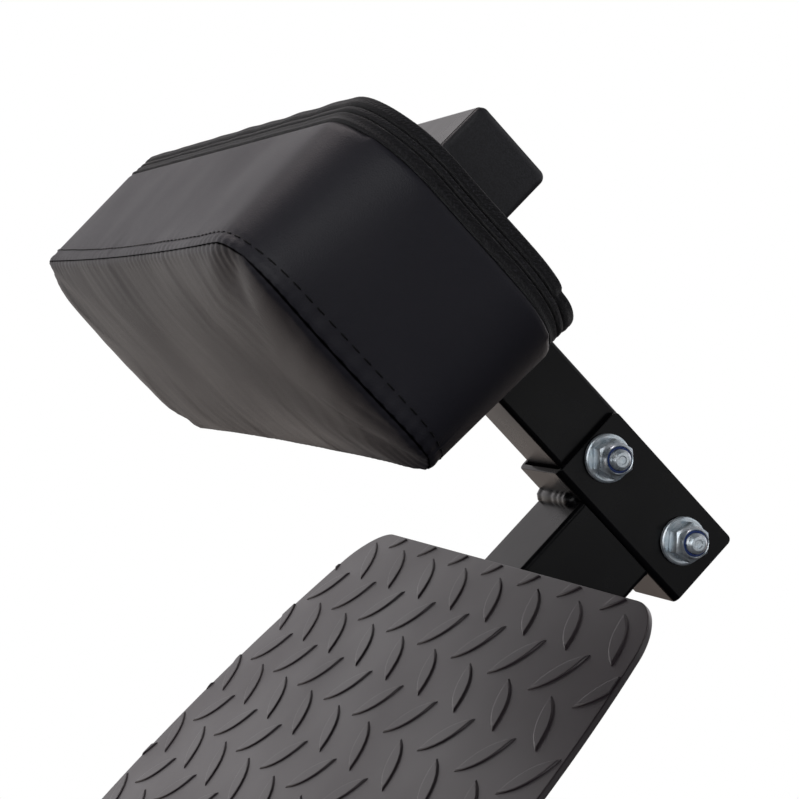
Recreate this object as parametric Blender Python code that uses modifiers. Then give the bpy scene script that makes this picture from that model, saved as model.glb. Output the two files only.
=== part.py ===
"""A 45 degree hyperextension bench with a bolted calf pad and hip pads on a sliding tube.

Metres, +Z up, +X towards the hip pads. The bench stands on Z = 0.
Most pieces are placed along the leg line: local X runs up the user's legs, local Y
across the bench and local Z square to the legs, up and back. Its origin lies on the
back face of the calf post, at the top edge of the post bracket.
"""

import math

import bmesh
import bpy
from mathutils import Matrix, Vector

COLLECTION_NAME = "hyperextension_bench"

# Gaps between pieces
TOUCH = 0.0003
SLIDE_GAP = 0.0005
HOLE_GAP = 0.0005

# Leg line
LEG_ANGLE = math.radians(45.0)
LEG_LINE_HEIGHT = 0.455
LEG_LINE_TO_REAR_FOOT = 0.150
LEG_LINE_TO_FRONT_FOOT = 0.700

# Square tubes
SMALL_TUBE = 0.040
LARGE_TUBE = 0.050
TUBE_WALL = 0.0025
TUBE_CORNER = 0.004
CAP_LIP = 0.0035
CAP_PLUG = 0.018

# Calf pad and its post
CALF_TUBE_START = 0.138
CALF_TUBE_LENGTH = 0.322
CALF_PAD_BASE_WIDTH = 0.420
CALF_PAD_FACE_WIDTH = 0.393
CALF_PAD_HEIGHT = 0.125
CALF_PAD_FACE_HEIGHT = 0.122
CALF_PAD_DEPTH = 0.0705
CALF_PAD_CORNER = 0.040
CALF_PAD_FACE_CORNER = 0.028
CALF_PAD_CROWN = 0.0045
CALF_BOARD_THICKNESS = 0.013
ZIP_BAND_THICKNESS = 0.005

# Post bracket and its bolts
BRACKET_LENGTH = 0.090
BRACKET_WALL = 0.004
BRACKET_BEND = 0.007
BRACKET_CORNER = 0.003
BRACKET_FLANGE_DROP = 0.0015
BOLT_RADIUS = 0.005
BOLT_SPACING = 0.0575
BOLT_EDGE = 0.013
BOLT_DROP = 0.021
BOLT_HEAD_ACROSS = 0.017
BOLT_HEAD_HEIGHT = 0.0065
BOLT_STICK_OUT = 0.003
WASHER_RADIUS = 0.0115
WASHER_THICKNESS = 0.0025
NUT_ACROSS = 0.017
NUT_HEX_HEIGHT = 0.0085
NUT_COLLAR_RADIUS = 0.0075
NUT_COLLAR_HEIGHT = 0.0035
HEX_CHAMFER = 0.001

# Foot rail and plate
RAIL_DROP = 0.019
PLATE_THICKNESS = 0.003
PLATE_HEEL = 0.0905
PLATE_TOE = 0.410
PLATE_WIDTH = 0.435
PLATE_WIDEST = 0.270
PLATE_SIDE_RADIUS = 0.455
PLATE_SIDE_SHIFT = 0.0033
PLATE_CORNER = 0.025
LUG_PITCH = 0.046
LUG_LENGTH = 0.034
LUG_WIDTH = 0.010
LUG_HEIGHT = 0.0012
LUG_TOP_WIDTH = 0.0055
LUG_TOP_LENGTH = 0.029
LUG_SIDES = 6
LUG_FIRST_ROW = 0.1106
LUG_SIDE_SHIFT = -0.0132
GUSSET_THICKNESS = 0.004
GUSSET_WIDTH = 0.150
GUSSET_DEPTH = 0.042
GUSSET_TIP = 0.012

# Main beam and base
BEAM_DROP = 0.440
BEAM_TOP = 0.480
BEAM_LOWER_REACH = 0.160
REAR_UPRIGHT_DROP = 0.200
FRONT_UPRIGHT_PLACE = 0.600
CROSS_FOOT_LENGTH = 0.560
SOLE_THICKNESS = 0.008
SOLE_LENGTH = 0.060
SOLE_SPREAD = 0.003
FOOT_CAP_WALL = 0.004
FOOT_CAP_CORNER = 0.005

# Transport wheels
WHEEL_RADIUS = 0.028
WHEEL_WIDTH = 0.020
WHEEL_LIFT = 0.006
WHEEL_SIDE_PLACE = 0.200
WHEEL_REACH = 0.034
WHEEL_EDGE = 0.003
WHEEL_HUB_RADIUS = 0.009
WHEEL_HUB_STEP = 0.001
AXLE_RADIUS = 0.004
AXLE_HEAD_RADIUS = 0.0075
AXLE_HEAD_HEIGHT = 0.004
FORK_WALL = 0.003
FORK_HEIGHT = 0.030

# Sliding hip pads
SLIDER_BOTTOM = 0.160
SLIDER_TOP = 0.700
BUSH_LENGTH = 0.060
BUSH_LIP = 0.004
GLIDE_LENGTH = 0.020
HOLE_PITCH = 0.025
HOLES_BELOW_PIN = 4
HOLES_ABOVE_PIN = 6
PAD_TOP_DROP = 0.262
HIP_PAD_LENGTH = 0.250
HIP_PAD_WIDTH = 0.170
HIP_PAD_GAP = 0.044
HIP_PAD_DEPTH = 0.066
HIP_PAD_CORNER = 0.045
HIP_PAD_FACE_INSET = 0.010
HIP_PAD_FACE_CORNER = 0.040
HIP_PAD_CROWN = 0.009
HIP_BOARD_THICKNESS = 0.012
HIP_BOARD_INSET = 0.006
PAD_PLATE_THICKNESS = 0.004
PAD_PLATE_LENGTH = 0.170
PAD_PLATE_WIDTH = 0.090
PAD_PLATE_CORNER = 0.010
PAD_TUBE_LENGTH = 0.300

# Handles
HANDLE_RADIUS = 0.0125
HANDLE_BEND = 0.045
HANDLE_REACH = 0.100
HANDLE_RISE = 0.165
HANDLE_LEAN = math.radians(20.0)
HANDLE_PLATE = 0.003
GRIP_LENGTH = 0.110
GRIP_WALL = 0.004
GRIP_END_WALL = 0.004
GRIP_EDGE = 0.002

# Spring pin and clamp
PIN_PLACE = 0.395
PIN_RADIUS = 0.005
PIN_TRAVEL = 0.012
PIN_COLLAR_RADIUS = 0.0082
PIN_COLLAR_LENGTH = 0.003
PIN_ROD_RADIUS = 0.0035
HOUSING_RADIUS = 0.0115
HOUSING_BORE = 0.009
HOUSING_LENGTH = 0.038
HOUSING_END_WALL = 0.003
HOUSING_EDGE = 0.001
TIP_CHAMFER = 0.001
SPRING_RADIUS = 0.0062
SPRING_WIRE = 0.0007
SPRING_TURNS = 6
KNOB_RADIUS = 0.015
KNOB_LENGTH = 0.028
KNOB_NECK_RADIUS = 0.010
PIN_HOLD = 0.014
CLAMP_BOSS_RADIUS = 0.011
CLAMP_BOSS_LENGTH = 0.012
CLAMP_SCREW_RADIUS = 0.005
CLAMP_SCREW_STICK_OUT = 0.006
CLAMP_KNOB_RADIUS = 0.024
CLAMP_KNOB_LENGTH = 0.022
CLAMP_KNOB_LOBES = 6
CLAMP_KNOB_LOBE_DEPTH = 0.0035
CLAMP_KNOB_EDGE = 0.002
CLAMP_SCREW_HOLD = 0.011

# Cushion sides from the base up: share of the way to the face's outline, share of the
# side's height, and how far the cover is drawn in there
CUSHION_SIDE = (
    (0.0, 0.0, 0.003),
    (0.12, 0.115, 0.0005),
    (0.45, 0.485, -0.0015),
    (0.80, 0.88, -0.001),
    (1.0, 1.0, 0.0),
)
CUSHION_SHOULDER = 0.0035
CUSHION_DOME = (1.0, 0.86, 0.62, 0.34)

# Ball knob from its end to its neck: share of its radius and share of its length
KNOB_PROFILE = ((0.6, 1.0), (0.9, 0.88), (1.0, 0.65), (0.9, 0.42))
KNOB_NECK_SHARE = 0.2

# Facets
ROUND_STEPS = 20
SMALL_STEPS = 12
CORNER_STEPS = 3
PAD_CORNER_STEPS = 5
LOBE_STEPS = 6
SPRING_STEPS = 9
SMOOTH_BELOW = math.radians(40.0)
SAME_WAY = 0.9
CUTTER_MARGIN = 0.002
CUTTER_REACH = 0.8

# Places worked out from the sizes above
TUBE_CENTRE = SMALL_TUBE / 2
RAIL_CENTRE_X = -(RAIL_DROP + LARGE_TUBE / 2)
RAIL_UNDERSIDE_X = -(RAIL_DROP + LARGE_TUBE)
WEB_FACE = SMALL_TUBE + TOUCH + BRACKET_WALL
FLANGE_FACE = SMALL_TUBE / 2 + TOUCH + BRACKET_WALL
BOLT_PLACES = {"upper": -BOLT_EDGE, "lower": -BOLT_EDGE - BOLT_SPACING}
CALF_TUBE_CENTRE_X = CALF_TUBE_START + SMALL_TUBE / 2
BEAM_CENTRE_Z = -(BEAM_DROP + LARGE_TUBE / 2)
BEAM_UNDERSIDE_Z = -(BEAM_DROP + LARGE_TUBE)
PAD_TUBE_CENTRE_X = SLIDER_TOP - SMALL_TUBE / 2
BOARD_TOP_Z = -(PAD_TOP_DROP + HIP_PAD_DEPTH + TOUCH)
PAD_PLATE_TOP_Z = BOARD_TOP_Z - HIP_BOARD_THICKNESS - TOUCH
PAD_TUBE_TOP_Z = PAD_PLATE_TOP_Z - PAD_PLATE_THICKNESS - TOUCH
HIP_PAD_SIDE_PLACE = (HIP_PAD_GAP + HIP_PAD_WIDTH) / 2
FLOOR_TUBE_TOP = SOLE_THICKNESS + LARGE_TUBE
PIN_PARKED = SMALL_TUBE / 2 + SLIDE_GAP
BEAM_SIDE = LARGE_TUBE / 2
SIDES = {"left": 1, "right": -1}


def start_scene():
    """Empty the scene and make the collections for the parts and the cutters."""
    for old in list(bpy.data.objects):
        bpy.data.objects.remove(old)
    collections = []
    for name in (COLLECTION_NAME, "cutters"):
        collection = bpy.data.collections.new(name)
        bpy.context.scene.collection.children.link(collection)
        collections.append(collection)
    return collections


PARTS, CUTTERS = start_scene()


def empty(name, matrix, parent=None):
    """An empty that carries pieces."""
    obj = bpy.data.objects.new(name, None)
    PARTS.objects.link(obj)
    obj.parent = parent
    obj.matrix_local = matrix
    return obj


BENCH = empty("bench", Matrix())
LEG_LINE = empty(
    "leg_line",
    Matrix.Translation((0, 0, LEG_LINE_HEIGHT)) @ Matrix.Rotation(-LEG_ANGLE, 4, "Y"),
    BENCH,
)


def finish(name, colour, roughness, metallic):
    """A plain finish."""
    material = bpy.data.materials.new(name)
    material.use_nodes = True
    shader = material.node_tree.nodes["Principled BSDF"]
    shader.inputs["Base Color"].default_value = (*colour, 1)
    shader.inputs["Roughness"].default_value = roughness
    shader.inputs["Metallic"].default_value = metallic
    return material


POWDER_COAT = finish("black_powder_coat", (0.016, 0.016, 0.018), 0.45, 0.0)
TREAD_PAINT = finish("black_tread_paint", (0.030, 0.030, 0.032), 0.5, 0.0)
VINYL = finish("black_vinyl", (0.018, 0.018, 0.020), 0.42, 0.0)
TAPE = finish("black_woven_tape", (0.012, 0.012, 0.013), 0.9, 0.0)
PLYWOOD = finish("plywood", (0.36, 0.23, 0.12), 0.7, 0.0)
PLASTIC = finish("black_plastic", (0.020, 0.020, 0.021), 0.5, 0.0)
RUBBER = finish("black_rubber", (0.016, 0.016, 0.016), 0.85, 0.0)
ZINC = finish("zinc_plated_steel", (0.62, 0.66, 0.70), 0.28, 1.0)
SPRING_STEEL = finish("spring_steel", (0.45, 0.45, 0.46), 0.35, 1.0)


def add_part(name, mesh_or_curve, material, parent=LEG_LINE, matrix=None):
    """Link a finished mesh or curve as a named piece."""
    obj = bpy.data.objects.new(name, mesh_or_curve)
    PARTS.objects.link(obj)
    mesh_or_curve.materials.append(material)
    obj.parent = parent
    if matrix is not None:
        obj.matrix_local = matrix
    return obj


def add_cutter(name, mesh, parent=LEG_LINE, matrix=None):
    """Link a mesh that only cuts or joins another."""
    obj = bpy.data.objects.new(name, mesh)
    CUTTERS.objects.link(obj)
    obj.parent = parent
    if matrix is not None:
        obj.matrix_local = matrix
    obj.hide_render = True
    obj.display_type = "WIRE"
    return obj


def combine(obj, other, operation="DIFFERENCE"):
    """Cut or join with another mesh."""
    modifier = obj.modifiers.new(other.name, "BOOLEAN")
    modifier.operation = operation
    modifier.solver = "EXACT"
    modifier.object = other


def mesh_from(bm, name):
    """Turn a bmesh into a mesh with its faces pointing out and its round sides smooth."""
    bmesh.ops.recalc_face_normals(bm, faces=bm.faces)
    mesh = bpy.data.meshes.new(name)
    bm.to_mesh(mesh)
    bm.free()
    mesh.shade_smooth()
    mesh.set_sharp_from_angle(angle=SMOOTH_BELOW)
    return mesh


def box_bmesh(low, high):
    """A box between two corners."""
    low, high = Vector(low), Vector(high)
    size = high - low
    bm = bmesh.new()
    bmesh.ops.create_cube(bm, size=1.0)
    bmesh.ops.scale(bm, vec=size, verts=bm.verts)
    bmesh.ops.translate(bm, vec=(low + high) / 2, verts=bm.verts)
    bm.normal_update()
    return bm


def box_mesh(name, low, high, bevel=0.0, along=None):
    """A box, with rounded edges all round or only along one axis."""
    bm = box_bmesh(low, high)
    if bevel:
        edges = [
            edge
            for edge in bm.edges
            if along is None
            or abs((edge.verts[0].co - edge.verts[1].co).normalized()[along]) > SAME_WAY
        ]
        bmesh.ops.bevel(
            bm, geom=edges, offset=bevel, segments=CORNER_STEPS, profile=0.5, affect="EDGES"
        )
    return mesh_from(bm, name)


def cylinder_mesh(name, radius, low, high, steps=SMALL_STEPS):
    """A cylinder along Z."""
    bm = bmesh.new()
    bmesh.ops.create_cone(
        bm,
        cap_ends=True,
        segments=steps,
        radius1=radius,
        radius2=radius,
        depth=high - low,
    )
    bmesh.ops.translate(bm, vec=(0, 0, (low + high) / 2), verts=bm.verts)
    return mesh_from(bm, name)


AXIS_TURN = {
    "X": Matrix.Rotation(math.radians(90), 4, "Y"),
    "Y": Matrix.Rotation(math.radians(-90), 4, "X"),
    "Z": Matrix(),
}


def along_axis(axis, place=(0, 0, 0)):
    """A matrix that lays local Z along an axis at a place."""
    return Matrix.Translation(place) @ AXIS_TURN[axis]


def square_tube(name, side, start, end, axis, place, parent=LEG_LINE, wall=TUBE_WALL):
    """A hollow square tube with rounded edges, open at both ends, from start to end."""
    bm = box_bmesh((-side / 2, -side / 2, start), (side / 2, side / 2, end))
    ends = [face for face in bm.faces if abs(face.normal.z) > SAME_WAY]
    bmesh.ops.delete(bm, geom=ends, context="FACES")
    edges = [edge for edge in bm.edges if abs(edge.verts[0].co.z - edge.verts[1].co.z) > wall]
    bmesh.ops.bevel(
        bm, geom=edges, offset=TUBE_CORNER, segments=CORNER_STEPS, profile=0.5, affect="EDGES"
    )
    tube = add_part(name, mesh_from(bm, name), POWDER_COAT, parent, along_axis(axis, place))
    shell = tube.modifiers.new("wall", "SOLIDIFY")
    shell.thickness = wall
    shell.offset = -1.0
    shell.use_even_offset = True
    return tube


def tube_cap(name, side, wall, axis, place, facing, parent=LEG_LINE):
    """A plastic cap: a rounded lip on the tube's end and a plug inside it."""
    lip = box_mesh(
        name,
        (-side / 2, -side / 2, TOUCH),
        (side / 2, side / 2, TOUCH + CAP_LIP),
        bevel=TUBE_CORNER,
        along=2,
    )
    plug_side = side / 2 - wall - TOUCH
    plug = box_mesh(
        name + "_plug",
        (-plug_side, -plug_side, -CAP_PLUG),
        (plug_side, plug_side, TOUCH + CAP_LIP / 2),
        bevel=TUBE_CORNER - wall + TOUCH,
        along=2,
    )
    matrix = along_axis(axis, place)
    if facing < 0:
        matrix = matrix @ Matrix.Rotation(math.pi, 4, "X")
    cap = add_part(name, lip, PLASTIC, parent, matrix)
    combine(cap, add_cutter(name + "_plug", plug, parent, matrix), "UNION")
    return cap


def turned(name, profile, material, matrix, parent=LEG_LINE, steps=ROUND_STEPS, closed=True):
    """A turned piece: a profile of (radius, height) points, run down its outer side."""
    bm = bmesh.new()
    verts = [bm.verts.new((radius, 0, height)) for radius, height in profile]
    for first, second in zip(verts, verts[1:]):
        bm.edges.new((first, second))
    if closed:
        bm.edges.new((verts[-1], verts[0]))
    mesh = bpy.data.meshes.new(name)
    bm.to_mesh(mesh)
    bm.free()
    piece = add_part(name, mesh, material, parent, matrix)
    screw = piece.modifiers.new("turn", "SCREW")
    screw.axis = "Z"
    screw.steps = steps
    screw.render_steps = steps
    screw.use_merge_vertices = True
    screw.merge_threshold = 0.00001
    screw.use_normal_calculate = False
    return piece


def flat_plate(name, points, thickness, material, matrix, parent=LEG_LINE):
    """A flat plate cut to an outline, from local Z = 0 up to its thickness."""
    curve = bpy.data.curves.new(name, "CURVE")
    curve.dimensions = "2D"
    curve.fill_mode = "BOTH"
    curve.extrude = thickness / 2
    spline = curve.splines.new("POLY")
    spline.points.add(len(points) - 1)
    for point, (x, y) in zip(spline.points, points):
        point.co = (x, y, 0, 1)
    spline.use_cyclic_u = True
    return add_part(
        name, curve, material, parent, matrix @ Matrix.Translation((0, 0, thickness / 2))
    )


def as_mesh(obj):
    """Replace a curve object by its mesh, with its caps welded, so that it can be cut."""
    bpy.context.view_layer.update()
    name, parent = obj.name, obj.parent
    matrix, material = obj.matrix_local.copy(), obj.data.materials[0]
    evaluated = obj.evaluated_get(bpy.context.evaluated_depsgraph_get())
    mesh = bpy.data.meshes.new_from_object(evaluated)
    bpy.data.objects.remove(obj)
    bm = bmesh.new()
    bm.from_mesh(mesh)
    bmesh.ops.remove_doubles(bm, verts=bm.verts, dist=0.00001)
    mesh.materials.clear()
    bmesh.ops.recalc_face_normals(bm, faces=bm.faces)
    bm.to_mesh(mesh)
    bm.free()
    return add_part(name, mesh, material, parent, matrix)


def rounded_rectangle(half_x, half_y, radius, steps):
    """Points round a rectangle whose corners are arcs, anticlockwise."""
    points = []
    for corner, (sign_x, sign_y) in enumerate(((1, 1), (-1, 1), (-1, -1), (1, -1))):
        for step in range(steps + 1):
            angle = math.radians(90) * (corner + step / steps)
            points.append(
                (
                    sign_x * (half_x - radius) + radius * math.cos(angle),
                    sign_y * (half_y - radius) + radius * math.sin(angle),
                )
            )
    return points


def cushion_ring(base, face, share, height, inset, scale=1.0):
    """One closed loop of a cushion, between its base outline and its face outline."""
    half_x, half_y, radius = ((1 - share) * low + share * high for low, high in zip(base, face))
    half_x, half_y = (half_x - inset) * scale, (half_y - inset) * scale
    points = rounded_rectangle(half_x, half_y, radius * scale, PAD_CORNER_STEPS)
    return [(x, y, height) for x, y in points]


def cushion(name, base, face, depth, crown, matrix):
    """A cushion with drawn-in sides and a crowned face.

    base and face are (half length, half width, corner radius); the cushion stands on
    local Z = 0 and its face is at the depth.
    """
    side_height = depth - crown - CUSHION_SHOULDER
    rings = [
        cushion_ring(base, face, share, side_height * rise, inset)
        for share, rise, inset in CUSHION_SIDE
    ]
    rings += [
        cushion_ring(base, face, 1.0, depth - crown * scale**2, CUSHION_SHOULDER, scale)
        for scale in CUSHION_DOME
    ]
    bm = bmesh.new()
    bottom = bm.faces.new([bm.verts.new(point) for point in rings[0]])
    top = bottom
    for points in rings[1:]:
        grown = bmesh.ops.extrude_face_region(bm, geom=[top])["geom"]
        new_top = next(item for item in grown if isinstance(item, bmesh.types.BMFace))
        if top is not bottom:
            bmesh.ops.delete(bm, geom=[top], context="FACES")
        top = new_top
        for vert, point in zip(top.verts, points):
            vert.co = point
    middle = bmesh.ops.poke(bm, faces=[top])["verts"]
    middle[0].co = (0, 0, depth)
    return add_part(name, mesh_from(bm, name), VINYL, LEG_LINE, matrix)


def hexagon_mesh(name, across, low, high):
    """A hexagonal prism along Z, chamfered at its upper end."""
    bm = bmesh.new()
    radius = across / math.sqrt(3)
    bmesh.ops.create_cone(
        bm, cap_ends=True, segments=6, radius1=radius, radius2=radius, depth=high - low
    )
    bmesh.ops.translate(bm, vec=(0, 0, (low + high) / 2), verts=bm.verts)
    top = [vert for vert in bm.verts if vert.co.z > (low + high) / 2]
    edges = [edge for edge in bm.edges if all(vert in top for vert in edge.verts)]
    bmesh.ops.bevel(bm, geom=edges, offset=HEX_CHAMFER, segments=1, affect="EDGES")
    return mesh_from(bm, name)


def make_calf_post():
    """The upright tube in the bracket, with the cross tube welded across its top."""
    post = square_tube(
        "calf_post",
        SMALL_TUBE,
        -BRACKET_LENGTH,
        CALF_TUBE_START - TOUCH,
        "X",
        (0, 0, -TUBE_CENTRE),
    )
    for name, x in BOLT_PLACES.items():
        reach = SMALL_TUBE / 2 + CUTTER_MARGIN
        hole = cylinder_mesh("post_hole_" + name, BOLT_RADIUS + HOLE_GAP, -reach, reach)
        combine(
            post,
            add_cutter("post_hole_" + name, hole, LEG_LINE, along_axis("Y", (x, 0, -BOLT_DROP))),
        )
    half = CALF_TUBE_LENGTH / 2
    place = (CALF_TUBE_CENTRE_X, 0, -TUBE_CENTRE)
    square_tube("calf_cross_tube", SMALL_TUBE, -half, half, "Y", place)
    for side, sign in SIDES.items():
        tube_cap(
            "calf_tube_cap_" + side,
            SMALL_TUBE,
            TUBE_WALL,
            "Y",
            (CALF_TUBE_CENTRE_X, sign * half, -TUBE_CENTRE),
            sign,
        )


def make_calf_pad():
    """The block cushion, the board inside its cover and the zip band round its base."""
    back = -(SMALL_TUBE + TOUCH)
    turn = Matrix.Rotation(math.pi, 4, "X")
    base = (CALF_PAD_HEIGHT / 2, CALF_PAD_BASE_WIDTH / 2, CALF_PAD_CORNER)
    face = (CALF_PAD_FACE_HEIGHT / 2, CALF_PAD_FACE_WIDTH / 2, CALF_PAD_FACE_CORNER)
    inner = [size - ZIP_BAND_THICKNESS - TOUCH for size in base]
    flat_plate(
        "calf_pad_board",
        rounded_rectangle(*inner, PAD_CORNER_STEPS),
        CALF_BOARD_THICKNESS,
        PLYWOOD,
        Matrix.Translation((CALF_TUBE_CENTRE_X, 0, back)) @ turn,
    )
    outer_points = rounded_rectangle(*base, PAD_CORNER_STEPS)
    inner_points = rounded_rectangle(*[size + TOUCH for size in inner], PAD_CORNER_STEPS)
    band = flat_plate(
        "calf_pad_zip",
        outer_points,
        CALF_BOARD_THICKNESS,
        TAPE,
        Matrix.Translation((CALF_TUBE_CENTRE_X, 0, back)) @ turn,
    )
    hole = band.data.splines.new("POLY")
    hole.points.add(len(inner_points) - 1)
    for point, (x, y) in zip(hole.points, inner_points):
        point.co = (x, y, 0, 1)
    hole.use_cyclic_u = True
    cushion(
        "calf_pad",
        base,
        face,
        CALF_PAD_DEPTH,
        CALF_PAD_CROWN,
        Matrix.Translation((CALF_TUBE_CENTRE_X, 0, back - CALF_BOARD_THICKNESS - TOUCH)) @ turn,
    )


def make_bracket():
    """A channel bent round the post's lower end, open at the back."""
    inside = SMALL_TUBE / 2 + TOUCH
    low = (-BRACKET_LENGTH, -inside, -(SMALL_TUBE + TOUCH))
    bm = box_bmesh(low, (0, inside, -BRACKET_FLANGE_DROP))
    gone = [face for face in bm.faces if face.normal.z > SAME_WAY or abs(face.normal.x) > SAME_WAY]
    bmesh.ops.delete(bm, geom=gone, context="FACES")
    bends = [edge for edge in bm.edges if len(edge.link_faces) == 2]
    bmesh.ops.bevel(
        bm,
        geom=bends,
        offset=BRACKET_BEND - BRACKET_WALL,
        segments=CORNER_STEPS,
        profile=0.5,
        affect="EDGES",
    )
    corners = [vert for vert in bm.verts if abs(vert.co.z) < CUTTER_MARGIN]
    bmesh.ops.bevel(
        bm, geom=corners, offset=BRACKET_CORNER, segments=CORNER_STEPS, profile=0.5, affect="VERTICES"
    )
    bracket = add_part("post_bracket", mesh_from(bm, "post_bracket"), POWDER_COAT)
    wall = bracket.modifiers.new("wall", "SOLIDIFY")
    wall.thickness = BRACKET_WALL
    wall.offset = 1.0
    wall.use_even_offset = True
    for name, x in BOLT_PLACES.items():
        reach = FLANGE_FACE + CUTTER_MARGIN
        hole = cylinder_mesh("bracket_hole_" + name, BOLT_RADIUS + HOLE_GAP, -reach, reach)
        matrix = along_axis("Y", (x, 0, -BOLT_DROP))
        combine(bracket, add_cutter("bracket_hole_" + name, hole, LEG_LINE, matrix))


def make_bolts():
    """Two bolts through the bracket, with washers both sides and nyloc nuts on the left."""
    bore = BOLT_RADIUS + HOLE_GAP
    washer_back = FLANGE_FACE + TOUCH
    washer_front = washer_back + WASHER_THICKNESS
    nut_back = washer_front + TOUCH
    nut_end = nut_back + NUT_HEX_HEIGHT + NUT_COLLAR_HEIGHT
    for name, x in BOLT_PLACES.items():
        place = (x, 0, -BOLT_DROP)
        left = along_axis("Y", place)
        right = left @ Matrix.Rotation(math.pi, 4, "X")
        ring = (
            (WASHER_RADIUS, washer_front),
            (WASHER_RADIUS, washer_back),
            (bore, washer_back),
            (bore, washer_front),
        )
        turned("bracket_washer_left_" + name, ring, ZINC, left)
        turned("bracket_washer_right_" + name, ring, ZINC, right)
        nut = add_part(
            "bracket_nut_" + name,
            hexagon_mesh("nut", NUT_ACROSS, nut_back, nut_back + NUT_HEX_HEIGHT),
            ZINC,
            LEG_LINE,
            left,
        )
        collar = cylinder_mesh(
            "collar", NUT_COLLAR_RADIUS, nut_end - NUT_COLLAR_HEIGHT * 2, nut_end, ROUND_STEPS
        )
        combine(nut, add_cutter("nut_collar_" + name, collar, LEG_LINE, left), "UNION")
        thread = cylinder_mesh(
            "thread", bore, nut_back - CUTTER_MARGIN, nut_end + CUTTER_MARGIN, SMALL_STEPS
        )
        combine(nut, add_cutter("nut_thread_" + name, thread, LEG_LINE, left))
        shank = cylinder_mesh(
            "shank", BOLT_RADIUS, -nut_back - BOLT_HEAD_HEIGHT / 2, nut_end + BOLT_STICK_OUT
        )
        bolt = add_part("bracket_bolt_" + name, shank, ZINC, LEG_LINE, left)
        head = hexagon_mesh("head", BOLT_HEAD_ACROSS, nut_back, nut_back + BOLT_HEAD_HEIGHT)
        combine(bolt, add_cutter("bolt_head_" + name, head, LEG_LINE, right), "UNION")


def plate_side(drop):
    """Half the plate's width at a place along the rail: an arc that bows outwards."""
    fall = PLATE_SIDE_RADIUS - math.sqrt(PLATE_SIDE_RADIUS**2 - (drop - PLATE_WIDEST) ** 2)
    return PLATE_WIDTH / 2 - fall


def plate_outline():
    """The plate's outline as (distance along the rail, distance across) points."""
    corner = PLATE_CORNER
    turns = [math.radians(90) * step / PAD_CORNER_STEPS for step in range(PAD_CORNER_STEPS + 1)]
    half = []
    for angle in turns:
        drop = PLATE_HEEL + corner * (1 - math.cos(angle))
        half.append((drop, plate_side(drop) - corner * (1 - math.sin(angle))))
    steps = 2 * PAD_CORNER_STEPS
    for step in range(1, steps):
        drop = PLATE_HEEL + corner + (PLATE_TOE - PLATE_HEEL - 2 * corner) * step / steps
        half.append((drop, plate_side(drop)))
    for angle in turns:
        drop = PLATE_TOE - corner * (1 - math.sin(angle))
        half.append((drop, plate_side(drop) - corner * (1 - math.cos(angle))))
    left = [(drop, PLATE_SIDE_SHIFT + across) for drop, across in half]
    return left + [(drop, PLATE_SIDE_SHIFT - across) for drop, across in reversed(half)]


def add_lug(bm, drop, across, turn):
    """Add one lens-shaped lug of the tread, which runs down into the plate."""
    made = bmesh.ops.create_cone(
        bm, cap_ends=True, segments=LUG_SIDES, radius1=0.5, radius2=0.5, depth=1.0
    )["verts"]
    for vert in made:
        top = vert.co.z > 0
        length, width = (LUG_TOP_LENGTH, LUG_TOP_WIDTH) if top else (LUG_LENGTH, LUG_WIDTH)
        vert.co = (vert.co.x * length, vert.co.y * width, LUG_HEIGHT if top else -LUG_HEIGHT)
    bmesh.ops.rotate(bm, verts=made, matrix=Matrix.Rotation(turn, 3, "Z"))
    bmesh.ops.translate(bm, verts=made, vec=(drop, across, PLATE_THICKNESS))


def make_foot_plate():
    """The foot plate with its tread of crossing lugs, and the gussets under it."""
    # Local X runs down the rail, local Y across, local Z up from the plate.
    place = Matrix.Translation((-RAIL_DROP + TOUCH, 0, 0)) @ Matrix.Rotation(math.radians(90), 4, "Y")
    plate = as_mesh(
        flat_plate("foot_plate", plate_outline(), PLATE_THICKNESS, TREAD_PAINT, place)
    )
    bm = bmesh.new()
    margin = LUG_LENGTH / 2 + HOLE_GAP
    rows = int((PLATE_TOE - PLATE_HEEL) / LUG_PITCH * 2) + 1
    columns = int(PLATE_WIDTH / LUG_PITCH)
    for row in range(rows):
        drop = LUG_FIRST_ROW + row * LUG_PITCH / 2
        if drop > PLATE_TOE - margin:
            continue
        shift = (row % 2) * LUG_PITCH / 2
        for column in range(-columns, columns + 1):
            across = LUG_SIDE_SHIFT + shift + column * LUG_PITCH
            if abs(across - PLATE_SIDE_SHIFT) < plate_side(drop) - margin:
                add_lug(bm, drop, across, math.radians(45 if row % 2 == 0 else -45))
    lugs = add_cutter("tread_lugs", mesh_from(bm, "tread_lugs"), LEG_LINE, place)
    combine(plate, lugs, "UNION")
    middle = (PLATE_HEEL + PLATE_TOE) / 2
    inner = LARGE_TUBE / 2 + TOUCH
    top = -RAIL_DROP
    for side, sign in SIDES.items():
        # Drawn across the bench and down, then stood up square to the rail.
        points = [
            (inner, top),
            (inner, top - GUSSET_DEPTH),
            (inner + GUSSET_TIP, top - GUSSET_DEPTH),
            (inner + GUSSET_WIDTH, top - GUSSET_TIP),
            (inner + GUSSET_WIDTH, top),
        ]
        frame = Matrix(((0, 1, 0, 0), (sign, 0, 0, 0), (0, 0, -sign, -middle), (0, 0, 0, 1)))
        flat_plate("foot_plate_gusset_" + side, points, GUSSET_THICKNESS, POWDER_COAT, frame)


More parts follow.
